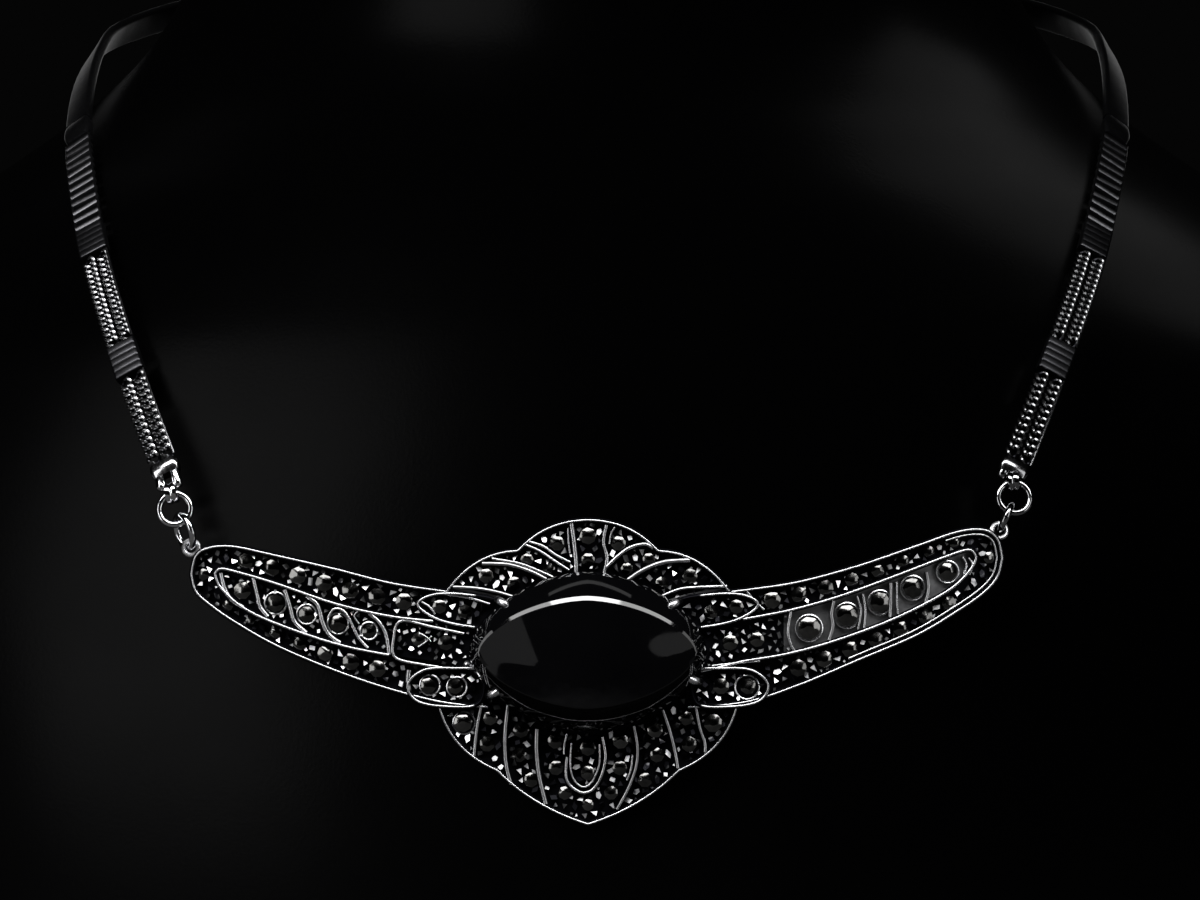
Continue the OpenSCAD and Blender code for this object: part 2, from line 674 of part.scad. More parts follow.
placed() neck_bust();
placed() front_frame();
placed() black_stone();
placed() wing_marcasites(-1);  // left_wing_marcasites
placed() wing_marcasites(1);  // right_wing_marcasites
placed() shield_marcasites();
for (side = [["left", -1], ["right", 1]]) {
    for (k = [1:5])
        placed() leaf_stone(side[1], k);
    placed() upper_ring(side[1]);
    placed() lower_ring(side[1]);
    placed() chain_end(side[1]);
    placed() weave(end_len, weave_1_end, side[1]);
    placed() chain_plate(weave_1_end, side[1]);
    placed() weave(plate_1_end, weave_2_end, side[1]);
    placed() chain_plate(weave_2_end, side[1]);
    placed() weave(plate_2_end, weave_3_end, side[1]);
    placed() knuckle(side[1]);
    placed() smooth_band(side[1]);
}
placed() clasp();
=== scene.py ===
import random
from math import ceil, copysign, cos, hypot, pi, radians, sin

import bpy
import numpy as np
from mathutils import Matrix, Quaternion, Vector

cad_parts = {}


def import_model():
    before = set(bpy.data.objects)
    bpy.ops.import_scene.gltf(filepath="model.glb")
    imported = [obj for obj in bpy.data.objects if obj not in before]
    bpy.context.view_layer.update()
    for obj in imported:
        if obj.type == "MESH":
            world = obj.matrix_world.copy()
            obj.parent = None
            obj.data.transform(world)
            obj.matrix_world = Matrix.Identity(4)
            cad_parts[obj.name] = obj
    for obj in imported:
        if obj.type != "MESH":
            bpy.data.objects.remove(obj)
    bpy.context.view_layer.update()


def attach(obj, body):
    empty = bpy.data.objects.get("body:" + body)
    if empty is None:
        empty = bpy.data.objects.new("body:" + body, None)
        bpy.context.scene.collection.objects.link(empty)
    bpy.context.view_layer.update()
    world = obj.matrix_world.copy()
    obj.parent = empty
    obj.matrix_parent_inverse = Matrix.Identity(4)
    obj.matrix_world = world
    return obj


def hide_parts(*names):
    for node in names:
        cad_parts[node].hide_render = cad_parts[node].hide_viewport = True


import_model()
draw = random.Random(11)

# Sizes, in millimetres. The drawing of the front bar is x across and z above the stone's centre,
# with "rise" forwards from the back of the shield.
MM = 0.001
STONE_HEIGHT = 75.0
BASE_MIDDLE = 52.0
BEND_START = 12.0
BEND_DEPTH = 3.0
WING_REACH = 41.5

# Sheets: back rise, front rise
SHIELD_SHEET = (0.0, 0.9)
WING_SHEET = (0.15, 0.8)
PETAL_SHEET = (0.32, 1.28)
LEAF_SHEET = (0.42, 1.2)
COLLAR_SHEET = (0.6, 1.9)
# Wires: foot rise, crown rise
SHIELD_RIM = (-0.1, 2.0)
WING_RIM = (-0.05, 2.07)
PETAL_RIM = (0.25, 2.38)
LEAF_RIM = (0.5, 2.3)
SHIELD_RIB = (0.55, 1.94)
LOOP_WIRE = (0.65, 1.86)
DIVIDER_WIRE = (0.7, 2.18)
# Panels between the petals, and wedges between the lowest upper ribs and the petals
PANEL_LIFT = 0.06
PANEL_SHEET = (LEAF_SHEET[0], LEAF_SHEET[1] + PANEL_LIFT)
WEDGE_SHEET = (0.7, 1.45)

# Wing outlines: x, top, bottom
LEFT_WING = [
    (-39.9, 7.6, 7.6), (-39.4, 9.5, 5.9), (-38.0, 10.3, 4.6), (-35.5, 10.4, 2.9),
    (-31.2, 9.5, 0.5), (-25.2, 8.15, -2.0), (-19.8, 6.8, -3.8), (-14.6, 6.0, -5.1),
    (-10.0, 5.4, -5.6)]
RIGHT_WING = [
    (41.5, 9.3, 9.3), (41.0, 11.2, 7.4), (39.6, 12.1, 5.8), (37.0, 11.9, 4.0),
    (32.9, 10.5, 1.6), (27.0, 8.5, -0.9), (21.0, 6.9, -3.4), (15.7, 6.1, -5.1),
    (10.0, 5.4, -5.6)]
LEFT_LEAF = [
    (-37.5, 7.7, 7.7), (-36.8, 8.2, 6.2), (-34.6, 7.7, 4.3), (-31.2, 6.7, 2.7),
    (-25.2, 4.7, 0.7), (-19.9, 3.5, -0.4), (-15.5, 3.0, -1.0)]
RIGHT_LEAF = [
    (38.9, 9.3, 9.3), (38.2, 10.1, 8.0), (36.0, 9.5, 6.0), (31.0, 7.6, 3.4),
    (25.2, 5.5, 1.2), (20.2, 4.1, -0.2), (15.5, 3.2, -1.0)]
# Shield outline, right half, as curves through three points
SHIELD_ARCS = [
    ((0, 13.1), (3.9, 12.3), (7.0, 10.0)), ((7.0, 10.0), (11.0, 8.9), (14.3, 5.7)),
    ((14.9, -5.4), (12.9, -9.3), (9.1, -11.9)), ((9.1, -11.9), (5.0, -15.1), (0, -17.3))]
UPPER_PETAL = [
    (8.9, 4.9), (12.6, 5.7), (15.6, 5.6), (17.0, 4.6), (15.0, 3.2), (12.0, 2.5), (10.2, 2.6)]
LOWER_PETAL = [
    (10.6, -2.1), (13.6, -1.7), (16.4, -1.9), (18.0, -3.3), (17.2, -4.9), (14.6, -5.5), (10.9, -5.2)]

# Ribs of the shield. Columns: style, width, points along it
SHIELD_RIBS = [
    ("line", 0.52, [(-1.2, 7.3), (-1.2, 9.0), (-1.4, 10.9), (-1.65, 12.75)]),
    ("line", 0.2, [(-1.8, 9.8), (-1.95, 10.9), (-2.0, 12.3)]),
    ("line", 0.4, [(1.55, 7.6), (1.9, 9.3), (1.55, 10.9), (1.85, 12.6)]),
    ("line", 0.2, [(2.15, 10.7), (2.3, 11.7), (2.7, 12.4)]),
    ("line", 0.3, [(-1.8, 8.9), (-3.2, 9.6), (-4.5, 10.5), (-5.9, 10.95)]),
    ("line", 0.3, [(-1.9, 8.1), (-3.3, 9.0), (-4.8, 10.0), (-6.3, 10.65)]),
    ("line", 0.42, [(1.7, 8.2), (2.9, 9.4), (4.2, 10.35), (5.7, 10.7), (6.5, 10.3)]),
    ("line", 0.3, [(-3.5, 7.4), (-5.2, 8.15), (-7.0, 8.8), (-9.6, 9.25)]),
    ("band", 0.47, [(-4.2, 7.2), (-5.8, 8.0), (-8.0, 8.65), (-10.6, 8.75)]),
    ("band", 0.56, [(4.0, 7.1), (5.5, 8.1), (7.6, 8.9), (10.2, 9.1)]),
    ("band", 0.42, [(-7.2, 5.35), (-9.3, 5.95), (-11.4, 6.3), (-13.5, 6.4)]),
    ("line", 0.36, [(7.4, 5.5), (9.2, 6.2), (11.2, 6.4), (13.9, 6.5)]),
    ("band", 0.39, [(-10.6, -5.2), (-11.1, -7.7), (-11.4, -10.5)]),
    ("band", 0.36, [(10.8, -5.6), (11.2, -7.7), (11.7, -9.2), (11.7, -10.1)]),
    ("band", 0.47, [(-8.0, -5.4), (-8.3, -8.4), (-8.2, -11.2), (-7.7, -13.3)]),
    ("band", 0.39, [(7.5, -5.9), (8.2, -8.0), (8.7, -10.0), (9.0, -11.7)]),
    ("band", 0.51, [(-5.1, -7.8), (-5.15, -9.8), (-4.9, -12.4), (-4.2, -15.3)]),
    ("line", 0.24, [(-2.1, -8.3), (-2.35, -9.3), (-2.4, -10.3)]),
    ("band", 0.36, [(4.6, -7.5), (4.95, -9.6), (4.8, -11.6), (4.0, -13.8), (2.9, -15.8)]),
    ("line", 0.24, [(4.45, -10.4), (4.3, -11.8), (3.9, -12.9)]),
]
LOOP_WIRES = [
    ("line", 0.34, [(-2.1, -10.6), (-2.2, -11.7), (-2.15, -12.8), (-1.6, -13.6), (-0.6, -14.15),
            (0.4, -13.9), (1.15, -12.9), (1.55, -11.8), (1.75, -10.4), (1.45, -8.6)]),
    ("line", 0.22, [(-1.65, -9.2), (-1.75, -10.6), (-1.7, -12.0), (-1.3, -13.0), (-0.5, -13.6),
            (0.3, -13.2), (0.8, -12.3), (1.15, -11.2), (1.15, -9.3)]),
]
# Dividers of the leaves. Columns: style, width, points along it
LEFT_DIVIDERS = [
    ("line", 0.5, [(-36.9, 7.75), (-36.45, 6.1), (-35.7, 5.0), (-34.6, 4.35)]),
    ("line", 0.46, [(-33.6, 7.3), (-33.2, 5.6), (-32.9, 4.4), (-32.1, 3.4)]),
    ("line", 0.48, [(-30.4, 6.1), (-29.9, 4.5), (-29.4, 2.9), (-28.2, 1.8)]),
    ("line", 0.48, [(-28.2, 5.5), (-27.1, 4.6), (-26.6, 2.9), (-25.9, 1.6), (-24.8, 0.8)]),
    ("line", 0.34, [(-26.0, 3.3), (-25.5, 4.15), (-24.6, 4.1), (-23.9, 3.2), (-23.0, 1.4), (-22.0, 0.3)]),
    ("line", 0.44, [(-21.9, 3.75), (-20.9, 2.9), (-20.2, 1.6), (-19.9, -0.35)]),
    ("line", 0.2, [(-22.9, 2.7), (-23.4, 3.5), (-23.0, 3.95)]),
]
RIGHT_DIVIDERS = [
    ("line", 0.24, [(37.5, 9.4), (37.9, 8.6), (37.6, 7.7)]),
    ("line", 0.24, [(38.1, 9.3), (38.5, 8.6), (38.2, 7.6)]),
    ("band", 0.42, [(33.9, 7.9), (34.1, 6.3), (33.8, 4.9)]),
    ("line", 0.26, [(30.9, 6.9), (30.9, 5.3), (31.0, 3.7)]),
    ("band", 0.4, [(30.3, 6.8), (30.3, 5.2), (30.2, 3.4)]),
    ("line", 0.3, [(27.5, 5.7), (27.75, 4.0), (27.6, 2.3)]),
    ("line", 0.24, [(26.9, 5.5), (27.3, 4.0), (27.0, 2.2)]),
    ("band", 0.46, [(24.6, 5.0), (24.35, 3.7), (24.5, 2.5), (24.1, 1.1)]),
    ("line", 0.36, [(20.3, 4.0), (20.0, 2.1), (20.2, 0.9), (20.7, -0.1)]),
]
# Wires beside the petals and round the panels. Columns: style, width, points along it
PANEL_WIRES = [
    ("line", 0.34, [(-12.4, 1.75), (-15.5, 2.4), (-18.7, 3.0), (-19.45, 1.2), (-19.25, -0.65),
                    (-16.5, -1.35), (-13.6, -1.75)]),
    ("line", 0.3, [(-9.8, 4.7), (-12.0, 5.35), (-14.7, 5.75)]),
    ("line", 0.34, [(15.5, -1.0), (13.4, -1.55), (11.3, -2.0)]),
    ("line", 0.22, [(17.2, -1.0), (14.6, -1.2), (12.4, -1.45)]),
    ("line", 0.26, [(15.9, 5.95), (16.7, 5.0), (17.6, 4.15)]),
    ("band", 0.6, [(-17.9, -1.9), (-18.0, -2.9), (-17.9, -4.0)]),
    ("line", 0.26, [(-16.6, 4.9), (-15.8, 4.4), (-15.3, 3.7)]),
    ("line", 0.18, [(-16.9, 1.75), (-16.2, 1.45), (-15.7, 0.95)]),
    ("line", 0.18, [(-17.0, 0.4), (-16.3, 0.85), (-15.6, 1.5)]),
]
SHIELD_WEDGE = [(7.9, 5.1), (9.6, 5.65), (11.8, 6.1), (13.6, 6.25), (12.6, 5.95), (10.8, 5.6), (9.2, 5.0)]
ROPE = [(-12.4, -1.2), (-11.2, -1.9), (-10.3, -2.9), (-9.8, -4.0)]
ROPE_STEP = 0.09
ROPE_PITCH = 0.62
ROPE_HALF = 0.42
ROPE_SHELF = 1.2
ROPE_LIFT = 0.75
ROPE_ROOM = 0.9
# Where the leaf cells end and the panels begin, and where the panels end
CELLS_ENDS = {-1: 19.9, 1: 20.2}
PANEL_INNER = 10.6
# Second line inside the rim of the right wing's end: how far in, and where its top and bottom ends lie
INNER_LINE_INSET = 0.5
INNER_LINE_ENDS = (35.5, 26.0)
INNER_LINE_W = 0.19
INNER_LINE_TOP = 1.75
INNER_LINE_ROOM = 0.22

# Marcasites: x, z, width
SHIELD_STONES = [
    (side * x, z, w) for x, z, w in [
        (3.05, 10.75, 1.5), (6.1, 9.15, 1.3), (3.9, 8.2, 1.25), (10.2, 7.5, 1.5), (7.4, 6.75, 1.4),
        (12.5, -7.2, 1.9), (9.8, -6.7, 1.5), (10.1, -9.3, 1.6), (6.7, -7.9, 1.6), (6.9, -10.4, 1.5),
        (5.7, -12.9, 1.5), (3.25, -9.0, 1.6), (3.2, -11.7, 1.5), (2.3, -14.2, 1.4)]
    for side in (1, -1)
] + [(0, 11.5, 1.7), (0, 9.1, 1.4), (0, -9.7, 1.6), (0, -12.2, 1.5), (0, -15.4, 1.2)]
LEFT_LEAF_STONES = [
    (-34.7, 6.0, 0.78), (-31.35, 4.75, 0.8), (-28.2, 3.65, 0.7), (-25.05, 2.75, 0.76), (-21.93, 2.0, 0.61)]
RIGHT_LEAF_STONES = [
    (36.0, 7.9, 0.8), (32.5, 6.3, 0.9), (29.2, 4.85, 0.9), (25.9, 3.55, 0.95), (22.1, 2.3, 1.0)]
LEAF_STONE_D = 2.3
PETAL_STONES = [
    (14.85, 4.45, 1.45), (12.3, 3.95, 1.45), (16.0, -3.5, 1.65), (13.3, -3.5, 1.65),
    (14.2, 0.85, 1.6), (16.9, 1.15, 1.5)]
BORDER_STONE_D = 1.75
BORDER_PITCH = 2.75
BORDER_START = 0.2
BORDER_END_INSET = 0.4
BORDER_ROOM = 0.9
BORDER_ENDS = (18.2, 19.2)
TIP_STONE_D = 1.2
RIM_W = 0.5
SMALL_GAP = 0.1

# Black stone
ONYX_LENGTH = 23.8
ONYX_HEIGHT = 16.0
ONYX_DEPTH = 5.6
ONYX_BACK = 2.0
STONE_POWER = 1.7
# Levels from its back over the girdle to the bevel. Columns: share of its length, share of its height,
# rise as a share of its depth
ONYX_LEVELS = [(0.6, 0.6, 0), (0.97, 0.97, 0.14), (1, 1, 0.2), (0.995, 0.99, 0.27), (0.985, 0.965, 0.36)]
COLLAR_OUTER = 0.93
PRONG_TURNS = (29, 150, 204, 345)
PRONG_R = 0.42
# Columns: how far outside the stone's edge, rise
PRONG_ROWS = [(0.55, 0.6), (0.55, 2.2), (0.5, 3.3), (0.2, 3.95), (-0.35, 4.2)]

# Rings
RING_WIRE = 0.35
RING_R = 1.6
EYELET_POINTS = {-1: (-40.0, 2.1, 10.25), 1: (41.25, 2.3, 12.0)}
RING_WAYS = {-1: (-0.4, 0.2, 0.92), 1: (0.4, 0.3, 0.85)}
LINK_RADII = {-1: 1.75, 1: 1.5}
LINK_GAP = 0.1
EYELET_R = 0.75
EYELET_WIRE = 0.25
BAIL_R = 0.9
BAIL_T = 0.45
BAIL_W = 1.2
BAIL_GAP = 0.25
LINK_TURNS = {-1: 28.0, 1: 0.0}
LOBE_R = 0.55
LOBE_OFFSET = 0.85
LOBE_NECK = 0.4

# Chain: x, y, z above the stone's centre, turn of its face to the side, tilt of its face up
ROUTE_ROWS = [
    (42.5, 4.0, 17.6, 15, 8), (45.3, 7.8, 24.2, 17, 16), (48.2, 14.0, 31.2, 20, 24),
    (50.9, 21.2, 38.2, 27, 32), (53.0, 29.6, 45.0, 37, 40), (55.0, 42.0, 52.8, 52, 46),
    (55.9, 57.0, 59.0, 72, 47), (55.9, 72.0, 63.6, 92, 38), (54.6, 85.0, 66.8, 108, 26),
    (48.0, 99.2, 70.2, 127, 15), (36.5, 109.6, 73.0, 143, 8), (21.0, 115.2, 74.6, 162, 3),
    (0, 117.0, 75.2, 180, 0)]
CHAIN_W = 3.2
CHAIN_T = 1.1
PLATE_LEN = 4.4
JOINT_GAP = 0.12
CLASP_LEN = 11.0
CLASP_W = 4.4
CLASP_T = 2.2
CLASP_BACK = 0.2
RUN_REACH = 0.3
END_LEN = 1.5
WEAVE_1_END = 13.0
PLATE_1_END = WEAVE_1_END + PLATE_LEN
WEAVE_2_END = PLATE_1_END + 14.3
PLATE_2_END = WEAVE_2_END + PLATE_LEN
WEAVE_3_END = PLATE_2_END + 18.5
KNUCKLE_END = WEAVE_3_END + 4.6
LINK_PITCH = 0.85
LINK_WIRE = 0.4
LINK_LIFT = 0.3
SLAT_PITCH = 1.54
EDGE_WIRE_R = 0.13

# Neck bust: height, half width, front, back
BUST_ROWS = [
    (0, 79, 5.0, 99), (3, 82, 3.4, 101), (24, 88, 1.6, 105), (50, 93.5, 0.2, 108),
    (75, 96, 1.3, 110), (90, 95, 4.2, 111.5), (104, 90, 9.2, 112.5), (113, 82, 13.2, 113),
    (120.5, 73, 17.2, 113), (127, 63.5, 21.2, 112.5), (133, 55.5, 24.6, 112), (140, 49, 27.4, 112),
    (149, 44.5, 29.2, 112.5), (160, 42.5, 29.6, 112.5), (176, 42, 28.6, 111), (180, 38.5, 31.5, 107.5)]

# Mesh of the neck bust
BUST_SIDES = 112
BUST_SHRINK = 0.9972
BUST_WIDEST = max(row[1] for row in BUST_ROWS)
BUST_TOP_STEPS = 6

# Wires of the bar: step along them, share of the tabled width that shows, and the lie of a round crown
WIRE_STEP = 0.3
WIRE_SHARE = 0.82
CROWN_LIFT = 0.95
CROWN_SHARE = 0.6
CROWN_STEP = 0.12
# Rims: their walls' width, and the width of the fine wire on their crest
PETAL_RIM_W = 0.45
SHIELD_CREST_W = 0.2
WING_CREST_W = 0.21
LEAF_CREST_W = 0.25
PETAL_CREST_W = 0.23
CREST_SHARE = 0.95
SHELF_BEVEL = 0.06
SHELF_INSET = 0.05

# How polished each surface is, from 0 to 1
FOOT_POLISH = 0.05
SHEET_POLISH = 0.06
PANEL_POLISH = 0.08
COLLAR_POLISH = 0.1
WALL_POLISH = 0.1
SHELF_POLISH = 0.12
LEAF_POLISH = {-1: 0.1, 1: 0.46}
WEDGE_POLISH = 0.5
BAND_POLISH = 0.62
# The petals' rims are painted dark from here inwards: painted shade where the black stone hides them
PETAL_SHADE_END = 11.3
PETAL_SHADE = 0.12

# Cut of a marcasite, from table to girdle. Columns: share of the radius, rise as a share of the width
MARCASITE_CUT = [(0.26, 0.5), (0.5, 0.475), (1.0, 0.355)]
MARCASITE_SIDES = 8
MARCASITE_LEAN = 0.24
MARCASITE_TINTS = (0.45, 0.85)
# Thin circles round single stones of the petals and the shield. Columns: x, z, radius
COLLETS = [(15.9, -3.6, 1.2), (-15.8, -3.4, 1.0), (-13.1, -3.6, 1.0), (-12.4, -7.2, 1.1)]
COLLET_W = 0.22
COLLET_LIFT = 0.5
LEAF_COLLET_LIFT = 0.55
LEAF_COLLET_GAP = 0.18

# Grains: the spots at which they are tried, the room that they keep, and their least and largest sizes
GRAIN_GRID = 0.26
GRAIN_SHIFT = 0.12
GRAIN_OVERLAP = 0.14
GRAIN_GAP = 0.17
GRAIN_FILL = 0.95
GRAIN_SIZES = (0.16, 0.34)
PANEL_GRAIN_SIZES = (0.16, 0.26)
CELL_GRAIN_SIZES = (0.22, 0.24)
WING_GRAINS_END = 15.0
GRAIN_HEIGHT = 0.7
GRAIN_CORNERS = (3, 3, 3, 4, 4, 5)
GRAIN_STRETCH = (1.1, 1.9)
# Ways that their cut slopes look. Columns: share of the grains, side turn, tilt up. The rest look any way
GRAIN_WAYS = [(0.66, 0, 26), (0.12, -38, 4), (0.12, 38, 4)]
GRAIN_TURNS = (-60, 60)
GRAIN_TILTS = (-50, 60)
GRAIN_SPREAD = 9
# How bright they are, and the factors of painted shade that make them darker below one height and to the
# right of one place
GRAIN_BRIGHTNESS = (0.24, 0.7)
GRAIN_SHADE_BELOW, GRAIN_SHADE_LOW = -5.0, 0.76
GRAIN_SHADE_RIGHT, GRAIN_SHADE_SIDE = 10.0, 0.84

# Black stone: its table's share of the girdle, its crest and how fast it falls off to the sides and upwards
ONYX_SIDES = 96
TABLE_LENGTH = 0.915
TABLE_HEIGHT = 0.7
TABLE_CREST = 5.0
TABLE_FALL_X = 0.0118
TABLE_FALL_Z = 0.0095
TABLE_MIDDLE_Z = -1.2
TABLE_RINGS = 28
# Chamfer round the table, at its top and at its bottom, and the bulge of the bevel outside it
CHAMFER_WIDTHS = (0.12, 0.42)
CHAMFER_SLOPE = 0.49
BEVEL_BULGE = 0.08
# Crease across the table: its middle height, its climb to the tips, and how fast the stone falls below it
CREASE_Z = -3.35
CREASE_CLIMB = 0.32
CREASE_FALL = 0.064

# Prongs: share of their tabled radius that shows, and how polished their foot is
PRONG_SIDES = 12
PRONG_SHARE = 0.92
PRONG_DARK = 0.08

# Links, slats, bail and clasp
LINK_ROUNDS = 18
LINK_SIDES = 8
LINK_LEAN = 0.03
LINK_DARK = 0.05
LINK_CLEAR = 0.01
EDGE_WIRE_STEP = 0.5
EDGE_WIRE_RISE = 0.3
SLAT_SIDES = 10
SLAT_SLANT = 0.1
SLAT_SHARE = 0.36
SLAT_HALF = 0.5
SLAT_EDGE = 1.47
SLAT_EDGE_RISE = 0.22
# Columns: place across the chain, share of the slat's size
SLAT_ROWS = [(-1.5, 0.8), (-1.45, 1.0), (-0.75, 1.0), (0.0, 1.0), (0.75, 1.0), (1.45, 1.0), (1.5, 0.8)]
PLATE_RIBS = 5
# Half of the bail's section, from its back to its groove. Columns: shares of half its width and thickness
BAIL_SECTION = [(1, -1), (1, 0.3), (0.82, 0.85), (0.5, 1), (0.15, 0.8), (0, 0.55)]
CLASP_SIDES = 24
# Half of the clasp, from its end to its seam. Columns: distance from the seam, share of its section
CLASP_ROWS = [(5.5, 0.82), (5.2, 0.96), (4.8, 1.0), (0.15, 1.0), (0, 0.94)]

SIDES = [(-1, "left"), (1, "right")]
WINGS = {-1: LEFT_WING, 1: RIGHT_WING}
LEAVES = {-1: LEFT_LEAF, 1: RIGHT_LEAF}
LEAF_STONES = {-1: LEFT_LEAF_STONES, 1: RIGHT_LEAF_STONES}


# Curves and directions
def row_at(rows, i, closed=False):
    """The row at this place. Past its ends an open list stays at its first or last row."""
    return rows[i % len(rows) if closed else min(max(i, 0), len(rows) - 1)]


def refine(rows, steps, closed=False):
    """Smooth curve through the rows, with this many steps from each row to the next."""
    rows = [np.array(r, float) for r in rows]
    out = []
    for i in range(len(rows) if closed else len(rows) - 1):
        a, b, c, d = (row_at(rows, k, closed) for k in range(i - 1, i + 3))
        for t in (k / steps for k in range(steps)):
            out.append(0.5 * (2 * b + (c - a) * t + (2 * a - 5 * b + 4 * c - d) * t * t
                              + (3 * b - a - 3 * c + d) * t ** 3))
    return out if closed else out + [rows[-1]]


def arc(p, q, r, steps):
    """Curved stretch that is drawn from p to r through q."""
    p, q, r = (np.array(v, float) for v in (p, q, r))
    pull = 2 * q - (p + r) / 2
    shares = (k / steps for k in range(steps + 1))
    return [(1 - t) ** 2 * p + 2 * t * (1 - t) * pull + t * t * r for t in shares]


def unit(v):
    v = np.array(v, float)
    return v / np.linalg.norm(v)


def turns(count):
    """Angles of a full turn in this many steps."""
    return [2 * pi * k / count for k in range(count)]


def square_to(way, axis):
    """Two directions square to this one and to each other, the first square to the axis (0 to 2) as well."""
    first = unit(np.cross(way, np.eye(3)[axis if abs(way[axis]) < 0.9 else 0]))
    return first, np.cross(way, first)


def circle(centre, first, second, radius, sides):
    return [centre + (first * cos(q) + second * sin(q)) * radius for q in turns(sides)]


def run_lengths(points):
    """Length along a path of the drawing at each of its points."""
    steps = [float(np.linalg.norm(np.array(b[:2]) - np.array(a[:2]))) for a, b in zip(points, points[1:])]
    return np.cumsum([0.0] + steps)


def even(path, gap=WIRE_STEP):
    """The same path with its points about this far apart."""
    lengths = run_lengths(path)
    spots = np.linspace(0, lengths[-1], max(2, int(round(lengths[-1] / gap))) + 1)
    return list(zip(*(np.interp(spots, lengths, [q[c] for q in path]) for c in (0, 1))))


def spaced(points, gap=WIRE_STEP):
    """Smooth path through the points, in steps of about this gap."""
    return even(refine(points, 12), gap)


def path_across(path, closed=False):
    """Direction to the left of the path at each of its points."""
    out = []
    for i in range(len(path)):
        before, after = (np.array(row_at(path, k, closed)[:2]) for k in (i - 1, i + 1))
        run = unit(after - before)
        out.append((-run[1], run[0]))
    return out


def inside(polygon, x, z):
    hit = False
    for a, b in zip(polygon, polygon[1:] + polygon[:1]):
        if (a[1] > z) != (b[1] > z) and x < a[0] + (z - a[1]) * (b[0] - a[0]) / (b[1] - a[1]):
            hit = not hit
    return hit


# Places
def bend(x):
    """How far the wings are bent back."""
    return BEND_DEPTH * (max(0.0, abs(x) - BEND_START) / (WING_REACH - BEND_START)) ** 2


def bend_slope(x):
    return (bend(x + SMALL_GAP) - bend(x - SMALL_GAP)) / (2 * SMALL_GAP)


def in_frame(p):
    """A point of the drawing's own x, y and z above the stone's centre, in the shared frame."""
    return np.array((p[0], p[1] - BASE_MIDDLE, p[2] + STONE_HEIGHT), float)


def seat(x, z, rise):
    """A point this far in front of the back of the bent bar."""
    return in_frame((x, bend(x) - rise, z))


# Groups of pieces that a light can be kept to, as a studio does with flags
jewellery = bpy.data.collections.new("jewellery")
display = bpy.data.collections.new("display")
stone_only = bpy.data.collections.new("stone_only")
# Slots whose pieces aren't in the jewellery alone
GROUPS = {"bust": [display], "onyx": [jewellery, stone_only]}


def placed(name, data, *groups):
    """A new object of this name, in the scene and in these groups."""
    obj = bpy.data.objects.new(name, data)
    for group in (bpy.context.scene.collection, *groups):
        group.objects.link(obj)
    return obj


# Meshes
def faces_look_in(points, faces):
    """True where the faces of a closed solid are wound so that they look inwards."""
    at = np.array(points, float)
    at = at - at.mean(axis=0)
    triangles = np.array([(f[0], b, c) for f in faces for b, c in zip(f[1:-1], f[2:])])
    first, second, third = (at[triangles[:, k]] for k in range(3))
    return float(np.sum(first * np.cross(second, third))) < 0


class Shape:
    """Gathers closed solids in millimetres, and how polished each of their points is."""

    def __init__(self):
        self.points, self.faces, self.polish, self.smooth = [], [], [], []

    def add(self, points, faces, polish=1.0, smooth=True):
        """Adds one closed solid and turns its faces outwards."""
        if faces_look_in(points, faces):
            faces = [f[::-1] for f in faces]
        base = len(self.points)
        self.points.extend(tuple(float(c) for c in p) for p in points)
        self.polish.extend(polish if hasattr(polish, "__len__") else [polish] * len(points))
        self.faces.extend(tuple(base + i for i in f) for f in faces)
        self.smooth.extend([smooth] * len(faces))

    def tube(self, points, sides, polish=1.0, closed=False, smooth=True):
        """Adds a tube through rings of points, with flat ends or closed. A single last point is its tip."""
        rings, tip = divmod(len(points), sides)
        last = (rings - 1) * sides
        pairs = [(j, (j + 1) % sides) for j in range(sides)]
        faces = []
        for i in range(rings if closed else rings - 1):
            low, high = i * sides, (i + 1) % rings * sides
            faces += [(low + j, low + m, high + m, high + j) for j, m in pairs]
        if not closed:
            faces.append(tuple(range(sides))[::-1])
        if tip:
            faces += [(last + j, last + m, last + sides) for j, m in pairs]
        elif not closed:
            faces.append(tuple(range(last, last + sides)))
        self.add(points, faces, polish, smooth)

    def piece(self, name, material, slot, node, crease=35.0):
        """Makes the mesh of this name in place of a CAD node."""
        mesh = bpy.data.meshes.new(name)
        mesh.from_pydata([tuple(c * MM for c in p) for p in self.points], [], self.faces)
        mesh.polygons.foreach_set("use_smooth", self.smooth)
        mesh.attributes.new("polish", "FLOAT", "POINT").data.foreach_set("value", self.polish)
        mesh.materials.append(material)
        mesh.validate()
        mesh.set_sharp_from_angle(angle=radians(crease))
        obj = placed(name, mesh, *GROUPS.get(slot, [jewellery]))
        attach(obj, "root")
        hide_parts(node)


def strip(shape, rows, rise, polish):
    """Sheet between the top and bottom edges of these rows."""
    corners = ((1, rise[0]), (1, rise[1]), (2, rise[1]), (2, rise[0]))
    points = [seat(row[0], row[edge], r) for row in rows for edge, r in corners]
    shape.tube(points, 4, polish, smooth=False)


def slab(shape, outline, rise, polish):
    """Flat sheet inside an outline."""
    shape.tube([in_frame((x, -r, z)) for r in rise for x, z in outline], len(outline), polish, smooth=False)


def hoop(shape, centre, face, radius, section, rounds=48):
    """Ring with its centre and the way that its face looks. Columns of the section: to its face, outwards."""
    points = [centre + out * (radius + v) + face * u
              for out in circle(0, *square_to(face, 2), 1, rounds) for u, v in section]
    shape.tube(points, len(section), closed=True)


def ring(shape, centre, face, radius, wire_r, rounds=48, sides=14):
    hoop(shape, centre, face, radius, [(wire_r * sin(q), wire_r * cos(q)) for q in turns(sides)], rounds)


def cord(shape, rows, radius, sides=8):
    """Round wire through points in the shared frame, with closed ends."""
    points = []
    for i, p in enumerate(rows):
        run = unit(row_at(rows, i + 1) - row_at(rows, i - 1))
        points += circle(p, *square_to(run, 1), radius, sides)
    shape.tube(points, sides)


